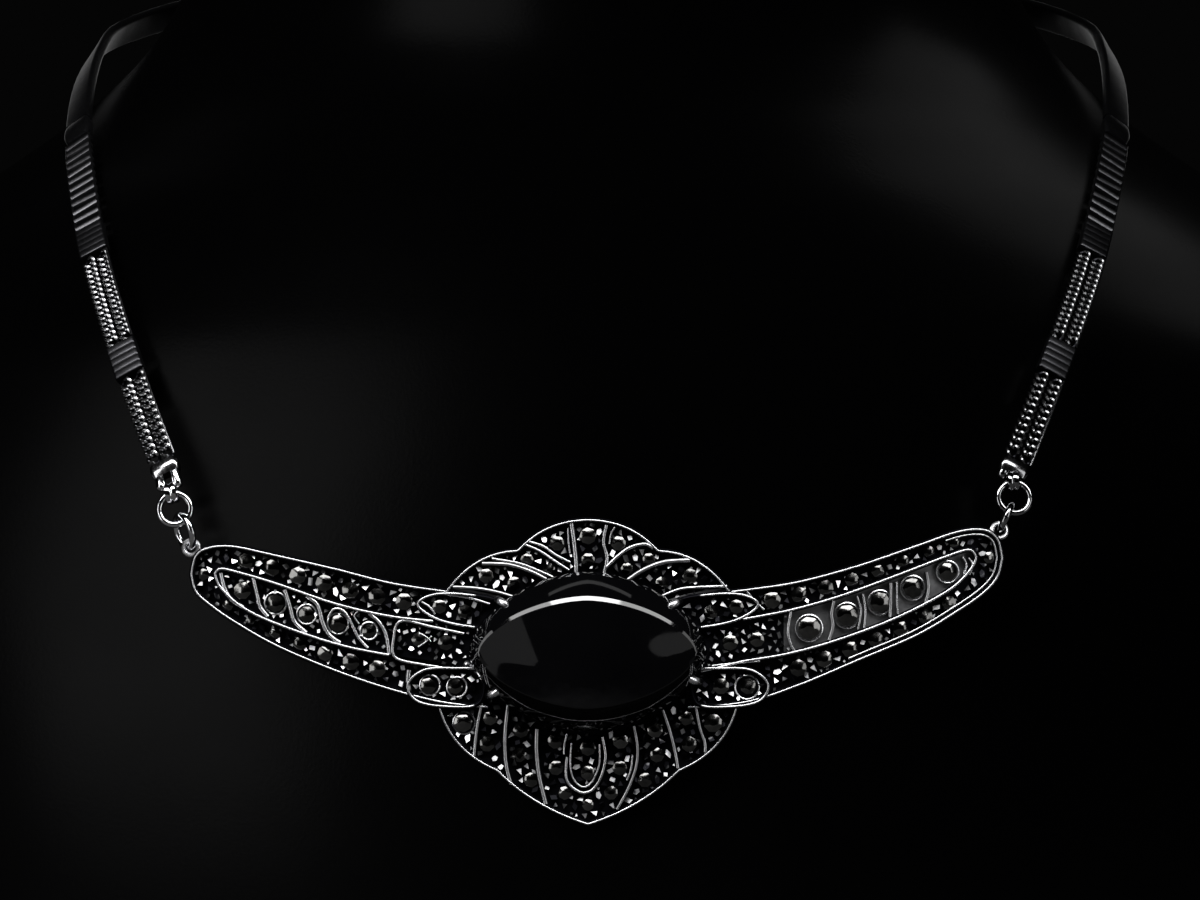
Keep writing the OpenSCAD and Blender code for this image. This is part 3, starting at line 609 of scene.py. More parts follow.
# Sections of a wire on its sheet. Columns: across, rise, polish
def both_sides(left, middle):
    return [*left, *middle, *((-u, rise, shine) for u, rise, shine in left[::-1])]


def crown(width, foot, top, arcs=8, polish=1.0):
    """Upright sides and a round crown."""
    half = width / 2
    lift = min(half * CROWN_LIFT, (top - foot) * CROWN_SHARE)
    angles = [pi * k / arcs for k in range(arcs + 1)]
    over = [(-half * cos(t), top - lift + lift * sin(t), polish * (0.5 + 0.5 * sin(t)))
            for t in angles]
    wall = [(-half, foot, FOOT_POLISH), (-half, top - lift - CROWN_STEP, WALL_POLISH)]
    return both_sides(wall, over)


def stepped(base, width, foot, top):
    """An upright dark wall with a finer round wire along its crest."""
    half, shelf = base / 2, top - width * CREST_SHARE
    left = [(-half, foot, FOOT_POLISH), (-half, shelf - SHELF_BEVEL, SHELF_POLISH),
            (SHELF_INSET - half, shelf, SHELF_POLISH)]
    return both_sides(left, crown(width, shelf, top)[1:-1])


def wire(shape, path, profile, closed=False, shade_factors=None):
    """Lays a wire with this section along a path. shade_factors gives a factor of its polish at each point,
    for painted shade.
    """
    points, polish = [], []
    for i, (p, a) in enumerate(zip(path, path_across(path, closed))):
        points += [seat(p[0] + a[0] * u, p[1] + a[1] * u, rise) for u, rise, _ in profile]
        polish += [shine * (shade_factors[i] if shade_factors else 1.0) for _, _, shine in profile]
    shape.tube(points, len(profile), polish, closed)


# Materials
class Look:
    """A material whose detail comes from procedural textures."""

    def __init__(self, name):
        self.material = bpy.data.materials.new(name)
        self.material.use_nodes = True
        self.nodes, self.links = self.material.node_tree.nodes, self.material.node_tree.links
        self.nodes.clear()
        self.shader = self.new("BsdfPrincipled", {})
        self.new("OutputMaterial", {"Surface": self.shader.outputs["BSDF"]})
        self.place = self.new("TexCoord", {}).outputs["Object"]

    def new(self, kind, inputs):
        return self.fill(self.nodes.new("ShaderNode" + kind), inputs)

    def fill(self, node, inputs):
        """Sets inputs of a node to numbers and colours, or joins them to outputs."""
        for name, value in inputs.items():
            if isinstance(value, bpy.types.NodeSocket):
                self.links.new(value, node.inputs[name])
            else:
                node.inputs[name].default_value = value
        return node

    def noise(self, scale, detail, stretch=None):
        place = self.place
        if stretch:
            place = self.new("Mapping", {"Vector": place, "Scale": stretch}).outputs["Vector"]
        return self.new("TexNoise", {"Vector": place, "Scale": scale, "Detail": detail}).outputs["Fac"]

    def polish(self):
        node = self.new("Attribute", {})
        node.attribute_name = "polish"
        return node.outputs["Fac"]

    def ranged(self, value, to_low, to_high, low=0.3, high=0.7):
        inputs = {"Value": value, "From Min": low, "From Max": high, "To Min": to_low, "To Max": to_high}
        return self.new("MapRange", inputs).outputs["Result"]

    def total(self, a, b):
        return self.new("Math", {0: a, 1: b}).outputs["Value"]

    def mixed(self, share, a, b):
        node = self.new("Mix", {})
        node.data_type = "RGBA"
        return self.fill(node, {"Factor": share, "A": (*a, 1), "B": (*b, 1)}).outputs["Result"]

    def bumped(self, height, strength, distance=0.00001):
        inputs = {"Height": height, "Strength": strength, "Distance": distance}
        return self.new("Bump", inputs).outputs["Normal"]

    def finished(self, inputs):
        self.fill(self.shader, inputs)
        return self.material


def silver_material(name, bright, dark, smooth_rough, dull_rough, edge=(0.3, 0.7)):
    """Silver that is polished where it stands proud and blackened where it lies deep."""
    look = Look(name)
    patches = look.ranged(look.noise(900.0, 4.0), -0.08, 0.08)
    share = look.ranged(look.total(look.polish(), patches), 0.0, 1.0, *edge)
    rough = look.ranged(share, dull_rough, smooth_rough, 0.0, 1.0)
    wear = look.ranged(look.noise(3500.0, 2.0), -0.03, 0.04)
    scratches = look.noise(2500.0, 3.0, (1.0, 1.0, 4.0))
    return look.finished({
        "Metallic": 1.0, "Base Color": look.mixed(share, dark, bright),
        "Roughness": look.total(rough, wear), "Normal": look.bumped(scratches, 0.2)})


def marcasite_material():
    look = Look("marcasite")
    specks = look.noise(1800.0, 3.0)
    share = look.total(look.polish(), look.ranged(specks, -0.15, 0.15))
    return look.finished({
        "Metallic": 1.0, "Base Color": look.mixed(share, (0.008, 0.008, 0.009), (0.17, 0.168, 0.163)),
        "Roughness": look.ranged(specks, 0.09, 0.15), "Normal": look.bumped(look.noise(5000.0, 2.0), 0.4)})


def onyx_material():
    look = Look("black_onyx")
    colour = look.mixed(look.noise(120.0, 4.0), (0.0004, 0.0004, 0.0005), (0.0012, 0.0012, 0.0014))
    return look.finished({
        "IOR": 1.54, "Specular IOR Level": 0.36, "Base Color": colour,
        "Roughness": look.ranged(look.noise(900.0, 3.0), 0.02, 0.06),
        "Normal": look.bumped(look.noise(250.0, 2.0), 0.15)})


def bust_material():
    look = Look("satin_black")
    colour = look.mixed(look.noise(25.0, 3.0), (0.003, 0.003, 0.0033), (0.0045, 0.0045, 0.005))
    return look.finished({
        "Specular IOR Level": 0.1, "Base Color": colour,
        "Roughness": look.ranged(look.noise(60.0, 4.0), 0.24, 0.3),
        "Normal": look.bumped(look.noise(2600.0, 2.0), 0.25, 0.00003)})


def floor_material():
    look = Look("pale_floor")
    colour = look.mixed(look.noise(8.0, 3.0), (0.6, 0.6, 0.6), (0.66, 0.66, 0.65))
    return look.finished({"Base Color": colour, "Roughness": 0.8})


def side_silvers(name, levels, blue, smooth_rough, dull_rough, edge):
    """A silver for each side of the chain, the right one darker as painted shade. levels are left, right."""
    return {side: silver_material(f"{name}_{word}", (level, level, level * blue), (0.012, 0.012, 0.014),
                                  smooth_rough, dull_rough, edge)
            for (side, word), level in zip(SIDES, levels)}


SILVER = silver_material("oxidised_silver", (0.8, 0.8, 0.82), (0.008, 0.008, 0.01), 0.28, 0.5)
GRAINS = silver_material("cut_silver_grains", (0.88, 0.88, 0.9), (0.01, 0.01, 0.012), 0.32, 0.5)
# The right side's levels are lower than the left's: painted shade on the right chain, rings and bars.
CHAIN = side_silvers("chain_silver", (0.45, 0.17), 1.03, 0.2, 0.36, (0.34, 0.84))
RINGS = side_silvers("ring_silver", (0.75, 0.32), 1.03, 0.1, 0.2, (0.1, 0.7))
# Much darker silver for the chain's slats, plates, knuckle and strap on the shoulders: painted shade.
SHADED_SILVER = side_silvers("shaded_silver", (0.085, 0.042), 1.06, 0.3, 0.4, (0.1, 0.7))
MARCASITE = marcasite_material()
ONYX = onyx_material()
BUST = bust_material()


def neck_bust():
    shape = Shape()
    before, top = (np.array(row, float) for row in BUST_ROWS[-2:])
    rows = [BUST_ROWS[0], *refine(BUST_ROWS[1:-1], 5)]
    for k in range(1, BUST_TOP_STEPS + 1):
        t = k / BUST_TOP_STEPS * pi / 2
        share = 1 - cos(t)
        rows.append(before + (top - before) * (sin(t), share, share, share))
    points = []
    for height, half, front, back in rows:
        half = min(half, BUST_WIDEST) * BUST_SHRINK
        middle, depth = (front + back) / 2 - BASE_MIDDLE, (back - front) / 2 * BUST_SHRINK
        points += [(half * cos(t), middle + depth * sin(t), height) for t in turns(BUST_SIDES)]
    shape.tube(points, BUST_SIDES)
    shape.piece("neck_bust_form", BUST, "bust", "neck_bust")


# Front bar
class Bar:
    """Meshes of the front bar, and what its grains go by.

    Columns of paths: points, width. Columns of stones: x, z, width. Columns of fields: outline, floor, sizes.
    raised holds the outlines of the higher sheets, where the grains of the lower fields leave room."""

    def __init__(self):
        self.sheets, self.wires, self.collets, self.grains = Shape(), Shape(), Shape(), Shape()
        self.paths, self.stones, self.fields, self.raised = [], [], [], []


def lay(bar, rows, heights):
    """Lays the wires of a table."""
    for style, width, points in rows:
        shine = BAND_POLISH if style == "band" else 1.0
        wire(bar.wires, spaced(points), crown(width * WIRE_SHARE, *heights, polish=shine))
        bar.paths.append((points, width))


def rim_of(rows, steps):
    """Edge of a wing or leaf, out along its top to the tip and back along its bottom."""
    fine = refine(rows, steps)
    return [(r[0], r[1]) for r in fine[::-1]] + [(r[0], r[2]) for r in fine[1:]]


def rim_part(path, top_end, low_end):
    """What lies beyond these distances from the middle of the top and the bottom of such an edge."""
    tip = len(path) // 2
    return [p for i, p in enumerate(path) if abs(p[0]) >= (top_end if i <= tip else low_end)]


def shield_half(first, last):
    points = []
    for ends in SHIELD_ARCS[first:last + 1]:
        for p in arc(*ends, 16):
            if not points or np.linalg.norm(points[-1] - p) > 0.01:
                points.append(p)
    return points


def mirrored(half):
    return [np.array((-p[0], p[1])) for p in half[::-1] if p[0] > 0.01]


def shield(bar):
    right, top, low = shield_half(0, 3), shield_half(0, 1), shield_half(2, 3)
    outline = [tuple(p) for p in right + mirrored(right)]
    slab(bar.sheets, outline, SHIELD_SHEET, SHEET_POLISH)
    bar.fields.append((outline, SHIELD_SHEET[1], GRAIN_SIZES))
    for side in (1, -1):
        slab(bar.sheets, [(side * x, z) for x, z in SHIELD_WEDGE], WEDGE_SHEET, WEDGE_POLISH)
    for first, second in ((mirrored(top), top), (low, mirrored(low))):
        wire(bar.wires, even(first + second), stepped(RIM_W, SHIELD_CREST_W, *SHIELD_RIM))
        bar.paths.append((first[::4] + second[::4] + [second[-1]], RIM_W))


def wings(bar):
    for side, rows in WINGS.items():
        leaf, cells_end = LEAVES[side], CELLS_ENDS[side]
        fine = refine(leaf, 8)
        cells = [tuple(r) for r in fine if abs(r[0]) >= cells_end]
        panel = [tuple(r) for r in fine if abs(r[0]) < cells_end]
        strip(bar.sheets, refine(rows, 6), WING_SHEET, SHEET_POLISH)
        strip(bar.sheets, cells + panel[:1], LEAF_SHEET, LEAF_POLISH[side])
        strip(bar.sheets, panel + [(side * PANEL_INNER, 2.5, -2.1)], PANEL_SHEET, PANEL_POLISH)
        low_end = cells_end if side < 0 else 0.0
        wire(bar.wires, even(rim_of(rows, 24)), stepped(RIM_W, WING_CREST_W, *WING_RIM))
        leaf_rim = rim_part(rim_of(leaf, 24), 0.0, low_end)
        wire(bar.wires, even(leaf_rim), stepped(RIM_W, LEAF_CREST_W, *LEAF_RIM))
        bar.paths += [(rim_of(rows, 2), RIM_W), (rim_of(leaf, 2), RIM_W)]
        field = rim_part(rim_of(rows, 3), WING_GRAINS_END, WING_GRAINS_END)
        bar.fields.append((field, WING_SHEET[1], GRAIN_SIZES))
        bar.raised.append(rim_of(leaf, 3))
    line = rim_part(rim_of(RIGHT_WING, 8), *INNER_LINE_ENDS)
    line = [(p[0] - a[0] * INNER_LINE_INSET, p[1] - a[1] * INNER_LINE_INSET)
            for p, a in zip(line, path_across(line))]
    wire(bar.wires, even(line), crown(INNER_LINE_W, WING_SHEET[1] - 0.1, INNER_LINE_TOP))
    bar.paths.append((line, INNER_LINE_ROOM))


def petals(bar):
    for petal in (UPPER_PETAL, LOWER_PETAL):
        for side in (1, -1):
            outline = [(side * p[0], p[1]) for p in refine(petal, 8, closed=True)]
            slab(bar.sheets, outline, PETAL_SHEET, PANEL_POLISH)
            # Painted shade: the rims are made darker where the black stone hides them.
            shade_factors = [PETAL_SHADE if abs(x) < PETAL_SHADE_END else 1.0 for x, z in outline]
            wire(bar.wires, outline, stepped(PETAL_RIM_W, PETAL_CREST_W, *PETAL_RIM), closed=True, shade_factors=shade_factors)
            field = [(side * x, z) for x, z in petal]
            bar.paths.append((field + field[:1], PETAL_RIM_W))
            bar.fields.append((field, PETAL_SHEET[1], GRAIN_SIZES))
            bar.raised.append(field)


def rope(bar):
    """Short stretch of ribbed wire between the left panel and its lower petal."""
    path = spaced(ROPE, ROPE_STEP)
    arcs = 8
    points, polish = [], []
    for p, a, s in zip(path, path_across(path), run_lengths(path)):
        swell = 0.72 + 0.28 * abs(sin(pi * s / ROPE_PITCH))
        for k in range(arcs + 1):
            t = pi * k / arcs
            u, rise = -ROPE_HALF * cos(t) * swell, ROPE_SHELF + ROPE_LIFT * sin(t) * swell
            points.append(seat(p[0] + a[0] * u, p[1] + a[1] * u, rise if 0 < k < arcs else SHIELD_SHEET[1]))
            polish.append(0.3 + 0.35 * sin(t))
    bar.wires.tube(points, arcs + 1, polish)
    bar.paths.append((ROPE, ROPE_ROOM))


def stone_point(turn, grow=1.0):
    """Point of the black stone's outline at this angle in degrees."""
    c, s = cos(radians(turn)), sin(radians(turn))
    long_share = (abs(c) / (ONYX_LENGTH / 2)) ** STONE_POWER
    high_share = (abs(s) / (ONYX_HEIGHT / 2)) ** STONE_POWER
    r = (long_share + high_share) ** (-1 / STONE_POWER)
    return np.array((grow * r * c, grow * r * s))


def stone_seat(bar):
    collar = [stone_point(-360 * j / 48, COLLAR_OUTER) for j in range(48)]
    slab(bar.sheets, collar, COLLAR_SHEET, COLLAR_POLISH)
    bar.paths.append(([stone_point(360 * j / 48) for j in range(49)], 0.4))
    bar.raised.append([tuple(stone_point(360 * j / 32, 1.04)) for j in range(32)])


def border_stones(side):
    """Stones along the top and bottom borders of a wing and one in its tip."""
    wing, leaf = WINGS[side], LEAVES[side]
    outer, inner = refine(wing, 3), sorted(tuple(r) for r in refine(leaf, 3))
    stones = []
    for edge, border_end in zip((1, 2), BORDER_ENDS):
        path = []
        for i, r in enumerate(outer):
            if abs(r[0]) >= abs(leaf[0][0]) - BORDER_END_INSET:
                continue
            run = row_at(outer, i + 1) - row_at(outer, i - 1)
            z = float(np.interp(r[0], [q[0] for q in inner], [q[edge] for q in inner]))
            lean = abs(run[0]) / hypot(run[0], run[edge])
            path.append((r[0], (r[edge] + z) / 2, lean * abs(r[edge] - z)))
        path = path[::-1]
        lengths = run_lengths(path)
        s = BORDER_START
        while s <= lengths[-1]:
            x, z, room = (float(np.interp(s, lengths, [q[c] for q in path])) for c in range(3))
            if abs(x) > border_end:
                stones.append((x, z, min(BORDER_STONE_D, BORDER_ROOM * room - RIM_W - SMALL_GAP)))
            s += BORDER_PITCH
    stones.append(((wing[0][0] + leaf[0][0]) / 2, wing[0][1], TIP_STONE_D))
    return stones


def marcasite(shape, x, z, width, floor):
    """Cut stone with a small table, a ring of broad facets and a steep ring, set a little askew."""
    n = MARCASITE_SIDES
    turn0 = draw.uniform(0, 2 * pi / n)
    lean_x, lean_z = (draw.uniform(-MARCASITE_LEAN, MARCASITE_LEAN) for _ in range(2))
    tint = draw.uniform(*MARCASITE_TINTS)
    slope = bend_slope(x)
    points = []
    for share, lift in MARCASITE_CUT:
        for turn in turns(n):
            dx, dz = (width / 2 * share * part(turn0 + turn) for part in (cos, sin))
            rise = floor + SMALL_GAP + lift * width + (lean_x * dx + lean_z * dz if share < 1 else 0)
            points.append(in_frame((x + dx, bend(x) + slope * dx - rise, z + dz)))
    points.append(in_frame((x, bend(x) - floor - SMALL_GAP, z)))
    base = (len(MARCASITE_CUT) - 1) * n
    pairs = [(j, (j + 1) % n) for j in range(n)]
    faces = [tuple(range(n)), *((base + j, base + n, base + m) for j, m in pairs)]
    for low in range(0, base, n):
        faces += [(low + j, low + n + j, low + n + m, low + m) for j, m in pairs]
    shape.add(points, faces, tint, smooth=False)


def collet(bar, x, z, reach, floor, lift):
    """Thin ring of silver round a stone."""
    path = [(x + reach * cos(t), z + reach * sin(t)) for t in turns(24)]
    wire(bar.collets, path, crown(COLLET_W, floor - 0.05, floor + lift, 4), closed=True)


def marcasites(bar):
    """Cut stones of the borders and petals, of the shield and of the leaves, with their collets."""
    for key, side, stones in (("left_wing", -1, border_stones(-1)), ("right_wing", 1, border_stones(1)),
                              ("shield", 0, SHIELD_STONES)):
        shape = Shape()
        inner = [(side * x, z, w) for x, z, w in PETAL_STONES] if side else []
        for rows, floor in ((stones, SHIELD_SHEET[1]), (inner, PETAL_SHEET[1] + PANEL_LIFT)):
            for x, z, width in rows:
                marcasite(shape, x, z, width, floor)
        bar.stones += stones + inner
        shape.piece(key + "_stones", MARCASITE, "marcasite", key + "_marcasites")
    for side, word in SIDES:
        for k, (x, z, share) in enumerate(LEAF_STONES[side], 1):
            shape = Shape()
            width = share * LEAF_STONE_D
            marcasite(shape, x, z, width, LEAF_SHEET[1])
            shape.piece(f"{word}_leaf_cut_stone_{k}", MARCASITE, "marcasite", f"{word}_leaf_stone_{k}")
            bar.stones.append((x, z, width))
            if side > 0 or k > 1:
                collet(bar, x, z, width / 2 + LEAF_COLLET_GAP, LEAF_SHEET[1], LEAF_COLLET_LIFT)
    for x, z, reach in COLLETS:
        collet(bar, x, z, reach, PETAL_SHEET[1] if abs(z) < 4 else SHIELD_SHEET[1], COLLET_LIFT)
        bar.stones.append((x, z, 2 * reach))


def grain(shape, x, z, size, floor):
    """Bead of silver raised beside a stone and cut to a slope."""
    pick = draw.random()
    side_turn, tilt = draw.uniform(*GRAIN_TURNS), draw.uniform(*GRAIN_TILTS)
    for share, way_turn, way_tilt in GRAIN_WAYS:
        if pick < share:
            side_turn, tilt = way_turn, way_tilt
            break
        pick -= share
    side_turn, tilt = (radians(angle + draw.gauss(0, GRAIN_SPREAD)) for angle in (side_turn, tilt))
    way = (sin(side_turn) * cos(tilt), sin(tilt), cos(side_turn) * cos(tilt))
    corners = draw.choice(GRAIN_CORNERS)
    turn0 = draw.uniform(0, 2 * pi)
    stretch, axis = draw.uniform(*GRAIN_STRETCH), draw.uniform(0, pi)
    brightness = draw.uniform(*GRAIN_BRIGHTNESS)
    # Painted shade: grains are made darker low on the bar and to its right.
    brightness *= GRAIN_SHADE_LOW if z < GRAIN_SHADE_BELOW else 1.0
    brightness *= GRAIN_SHADE_SIDE if x > GRAIN_SHADE_RIGHT else 1.0
    points, polish = [], []
    for share, level, shine in ((1.0, 0.0, 0.15), (0.95, 0.8, 0.5 * brightness), (0.8, 1.0, brightness)):
        for turn in turns(corners):
            dx, dz = size * share * cos(turn0 + turn), size * share * sin(turn0 + turn)
            along = (stretch - 1) * (dx * cos(axis) + dz * sin(axis))
            dx += along * cos(axis)
            dz += along * sin(axis)
            lift = GRAIN_HEIGHT * (level - 0.25) - (way[0] * dx + way[1] * dz) / way[2]
            points.append(seat(x + dx, z + dz, floor + (min(max(lift, 0.06), 0.95) if level else 0.0)))
            polish.append(shine)
    shape.tube(points, corners, polish, smooth=False)


def free_spots(outline, least, discs, lines, higher):
    """Spots of a field that are free of stones, wires and higher sheets, the roomiest first."""
    spots = []
    x, right = min(p[0] for p in outline), max(p[0] for p in outline)
    while x < right:
        z, top = min(p[1] for p in outline), max(p[1] for p in outline)
        while z < top:
            spot = [c + draw.uniform(-GRAIN_SHIFT, GRAIN_SHIFT) for c in (x, z)]
            z += GRAIN_GRID
            if not inside(outline, *spot) or any(inside(sheet, *spot) for sheet in higher):
                continue
            to_stone, to_wire = (
                float(np.min(np.hypot(rows[:, 0] - spot[0], rows[:, 1] - spot[1]) - rows[:, 2] / 2))
                for rows in (discs, lines))
            room = min(to_stone + GRAIN_OVERLAP, to_wire)
            if room > least:
                spots.append((room, *spot))
        x += GRAIN_GRID
    return sorted(spots, reverse=True)


def strew_grains(bar):
    """Raises grains in the free places of each field, between the stones and wires."""
    for side in (-1, 1):
        end = CELLS_ENDS[side]
        panel = [(side * PANEL_INNER, 1.9), (side * end, 3.6), (side * end, -0.5), (side * PANEL_INNER, -1.9)]
        bar.fields.append((panel, PANEL_SHEET[1], PANEL_GRAIN_SIZES))
        bar.raised.append(panel)
    cells = rim_part(rim_of(LEFT_LEAF, 3), CELLS_ENDS[-1], CELLS_ENDS[-1])
    bar.fields.append((cells, LEAF_SHEET[1], CELL_GRAIN_SIZES))
    discs = np.array(bar.stones, float)
    lines = np.array([(p[0], p[1], w) for path, w in bar.paths for p in spaced(path, 0.2)])
    for outline, floor, (least, most) in bar.fields:
        kept = []
        higher = bar.raised if floor < LEAF_SHEET[1] else []
        for room, x, z in free_spots(outline, least, discs, lines, higher):
            size = min(room * GRAIN_FILL, most)
            if all(hypot(x - q[0], z - q[1]) > size + q[2] + GRAIN_GAP for q in kept):
                kept.append((x, z, size))
        for x, z, size in kept:
            grain(bar.grains, x, z, size, floor)


def front_bar():
    bar = Bar()
    shield(bar)
    wings(bar)
    petals(bar)
    lay(bar, SHIELD_RIBS, SHIELD_RIB)
    lay(bar, LOOP_WIRES, LOOP_WIRE)
    lay(bar, LEFT_DIVIDERS + RIGHT_DIVIDERS + PANEL_WIRES, DIVIDER_WIRE)
    rope(bar)
    stone_seat(bar)
    marcasites(bar)
    strew_grains(bar)
    for name, shape in (("sheets", bar.sheets), ("wires", bar.wires), ("collets", bar.collets)):
        shape.piece("front_bar_" + name, SILVER, "oxidised_silver", "front_frame")
    bar.grains.piece("front_bar_grains", GRAINS, "oxidised_silver", "front_frame")


def table_rise(x, z):
    """Height of the black stone's domed table, which falls off below its crease."""
    below = max(0.0, CREASE_Z + CREASE_CLIMB * abs(x) - z)
    above = max(0.0, z - TABLE_MIDDLE_Z)
    return ONYX_BACK + TABLE_CREST - TABLE_FALL_X * x * x - TABLE_FALL_Z * above ** 2 - CREASE_FALL * below


def black_stone():
    """Black stone with a steep bevel, a narrow chamfer along its inner edge and a softly domed table."""
    shape = Shape()
    girdle = [stone_point(360 * j / ONYX_SIDES) for j in range(ONYX_SIDES)]
    rim = [(p[0] * TABLE_LENGTH, p[1] * TABLE_HEIGHT) for p in girdle]
    levels = [[(p[0] * long_share, p[1] * high_share, ONYX_BACK + lift * ONYX_DEPTH) for p in girdle]
              for long_share, high_share, lift in ONYX_LEVELS]
    chamfer, bevel = [], []
    for (x, z), (nx, nz) in zip(rim, path_across(rim, True)):
        width = CHAMFER_WIDTHS[0] + (CHAMFER_WIDTHS[1] - CHAMFER_WIDTHS[0]) * max(0.0, -nz) ** 2
        cx, cz = x + nx * width, z + nz * width
        chamfer.append((cx, cz, table_rise(cx, cz)))
        bevel.append((x, z, table_rise(cx, cz) - width * CHAMFER_SLOPE))
    middle = []
    for a, b in zip(np.array(levels[-1]), np.array(bevel)):
        middle.append((a + b) / 2 + (0, 0, BEVEL_BULGE * hypot(*(a - b)[:2])))
    levels += [middle, bevel, chamfer]
    for share in (1 - k / TABLE_RINGS for k in range(1, TABLE_RINGS)):
        levels.append([(x * share, z * share, table_rise(x * share, z * share)) for x, z, _ in chamfer])
    points = [in_frame((x, -rise, z)) for level in levels for x, z, rise in level]
    points.append(in_frame((0, -table_rise(0, 0), 0)))
    shape.tube(points, ONYX_SIDES)
    shape.piece("black_stone_cut", ONYX, "onyx", "black_stone", crease=12.0)


def prongs():
    """Four prongs that are bright where they bend over the stone's edge."""
    shape = Shape()
    sides, radius = PRONG_SIDES, PRONG_R * PRONG_SHARE
    for turn in PRONG_TURNS:
        edge = stone_point(turn)
        out = unit(edge)
        across = np.array((-out[1], 0, out[0]))
        path = refine([in_frame((edge[0] + out[0] * d, -r, edge[1] + out[1] * d)) for d, r in PRONG_ROWS], 4)
        points = []
        for i, p in enumerate(path):
            run = unit(row_at(path, i + 1) - row_at(path, i - 1))
            points += circle(p, across, unit(np.cross(across, run)), radius, sides)
        tip, run = path[-1], unit(path[-1] - path[-2])
        for t in (pi / 8, pi / 4, pi * 3 / 8):
            centre = tip + run * radius * sin(t)
            points += circle(centre, across, unit(np.cross(across, run)), radius * cos(t), sides)
        points.append(tip + run * radius)
        polish = []
        for share in (i / len(path) for i in range(len(points) // sides)):
            polish += [PRONG_DARK + (1 - PRONG_DARK) * min(1.0, max(0.0, (share - 0.6) / 0.2))] * sides
        shape.tube(points, sides, polish + [1.0])
    shape.piece("stone_prongs", SILVER, "oxidised_silver", "front_frame")


# Rings and chain
def linked(r_a, wire_a, r_b, wire_b, gap=LINK_GAP):
    """Distance between the centres of two rings that hang in one another."""
    return r_a + r_b - wire_a - wire_b - gap


class Hanging:
    """How the rings and the bail of one side lie and are turned, in the drawing's own millimetres."""

    def __init__(self, side):
        way, turn, radius = unit(RING_WAYS[side]), radians(LINK_TURNS[side]), LINK_RADII[side]
        self.face = unit(np.array((0, -1, 0)) + way * way[1])
        self.link_face = np.cross(self.face, way) * cos(turn) + self.face * sin(turn)
        self.link = np.array(EYELET_POINTS[side]) + way * linked(EYELET_R, EYELET_WIRE, radius, RING_WIRE)
        self.ring = self.link + way * linked(radius, RING_WIRE, RING_R, RING_WIRE)
        to_chain = np.array((side * ROUTE_ROWS[0][0], *ROUTE_ROWS[0][1:3])) - self.ring
        self.rise = unit(to_chain - self.face * np.dot(to_chain, self.face))
        self.bail = self.ring + self.rise * linked(RING_R, RING_WIRE, BAIL_R, BAIL_T / 2, BAIL_GAP)


ROUTE = np.array(refine(ROUTE_ROWS, 4))
ROUTE_LENGTHS = np.concatenate([[0], np.cumsum(np.linalg.norm(np.diff(ROUTE[:, :3], axis=0), axis=1))])
ROUTE_TOTAL = float(ROUTE_LENGTHS[-1])


def route_at(s):
    return np.array([np.interp(s, ROUTE_LENGTHS, ROUTE[:, c]) for c in range(5)])


def station(s, side):
    """Centre, run, right and outward directions of the chain at a length along it."""
    here = route_at(s)
    run = unit(route_at(min(s + RUN_REACH, ROUTE_TOTAL))[:3] - route_at(max(s - RUN_REACH, 0))[:3])
    turn, tilt = radians(here[3]), radians(here[4])
    rough = np.array((sin(turn) * cos(tilt), -cos(turn) * cos(tilt), sin(tilt)))
    out = unit(rough - run * np.dot(rough, run))
    flip = np.array((side, 1, 1))
    run, out = run * flip, out * flip
    return in_frame(here[:3] * flip), run, np.cross(run, out), out


def bulge(wide, high):
    """Factors of a bar's width and thickness that grow from these at its ends to 1 at its middle."""
    return lambda t: (wide + (1 - wide) * sin(pi * t), high + (1 - high) * sin(pi * t))


def ribbed(t):
    return 1.0, 0.86 + 0.14 * abs(sin(pi * PLATE_RIBS * t)) ** 0.4


def band(shape, side, start, end, width, thick, swell, step, edge, polish):
    """Flat bar along the route with rounded edges. swell gives factors of its width and front."""
    rx, ry = width / 2, thick / 2
    corners = ((rx - edge, ry - edge, 0), (edge - rx, ry - edge, 90),
               (edge - rx, edge - ry, 180), (rx - edge, edge - ry, 270))
    section = [(cx + edge * cos(radians(a)), cy + edge * sin(radians(a)))
               for cx, cy, first in corners for a in range(first, first + 91, 30)]
    count = max(4, int(ceil((end - start) / step)))
    points = []
    for share in (i / count for i in range(count + 1)):
        centre, run, right, out = station(start + (end - start) * share, side)
        wide, high = swell(share) if swell else (1.0, 1.0)
        points += [centre + right * u * wide + out * (v * high if v > 0 else v) for u, v in section]
    shape.tube(points, len(section), polish)


def edge_cord(shape, side, start, end, across, rise):
    """Thin wire along a stretch, this far across and in front of its middle."""
    steps = int((end - start) / EDGE_WIRE_STEP)
    rows = []
    for k in range(steps + 1):
        centre, run, right, out = station(start + (end - start) * k / steps, side)
        rows.append(centre + right * across + out * rise)
    cord(shape, rows, EDGE_WIRE_R)


def curb_link():
    """Points of a bent oval link: along the chain, across it, and outwards."""
    reach, tall = (LINK_PITCH + LINK_WIRE) / 2, CHAIN_W / 4 - LINK_WIRE / 2 - LINK_CLEAR
    return [np.array((reach * cos(t), tall * sin(t), LINK_LIFT * sin(2 * t)))
            for t in turns(LINK_ROUNDS)]


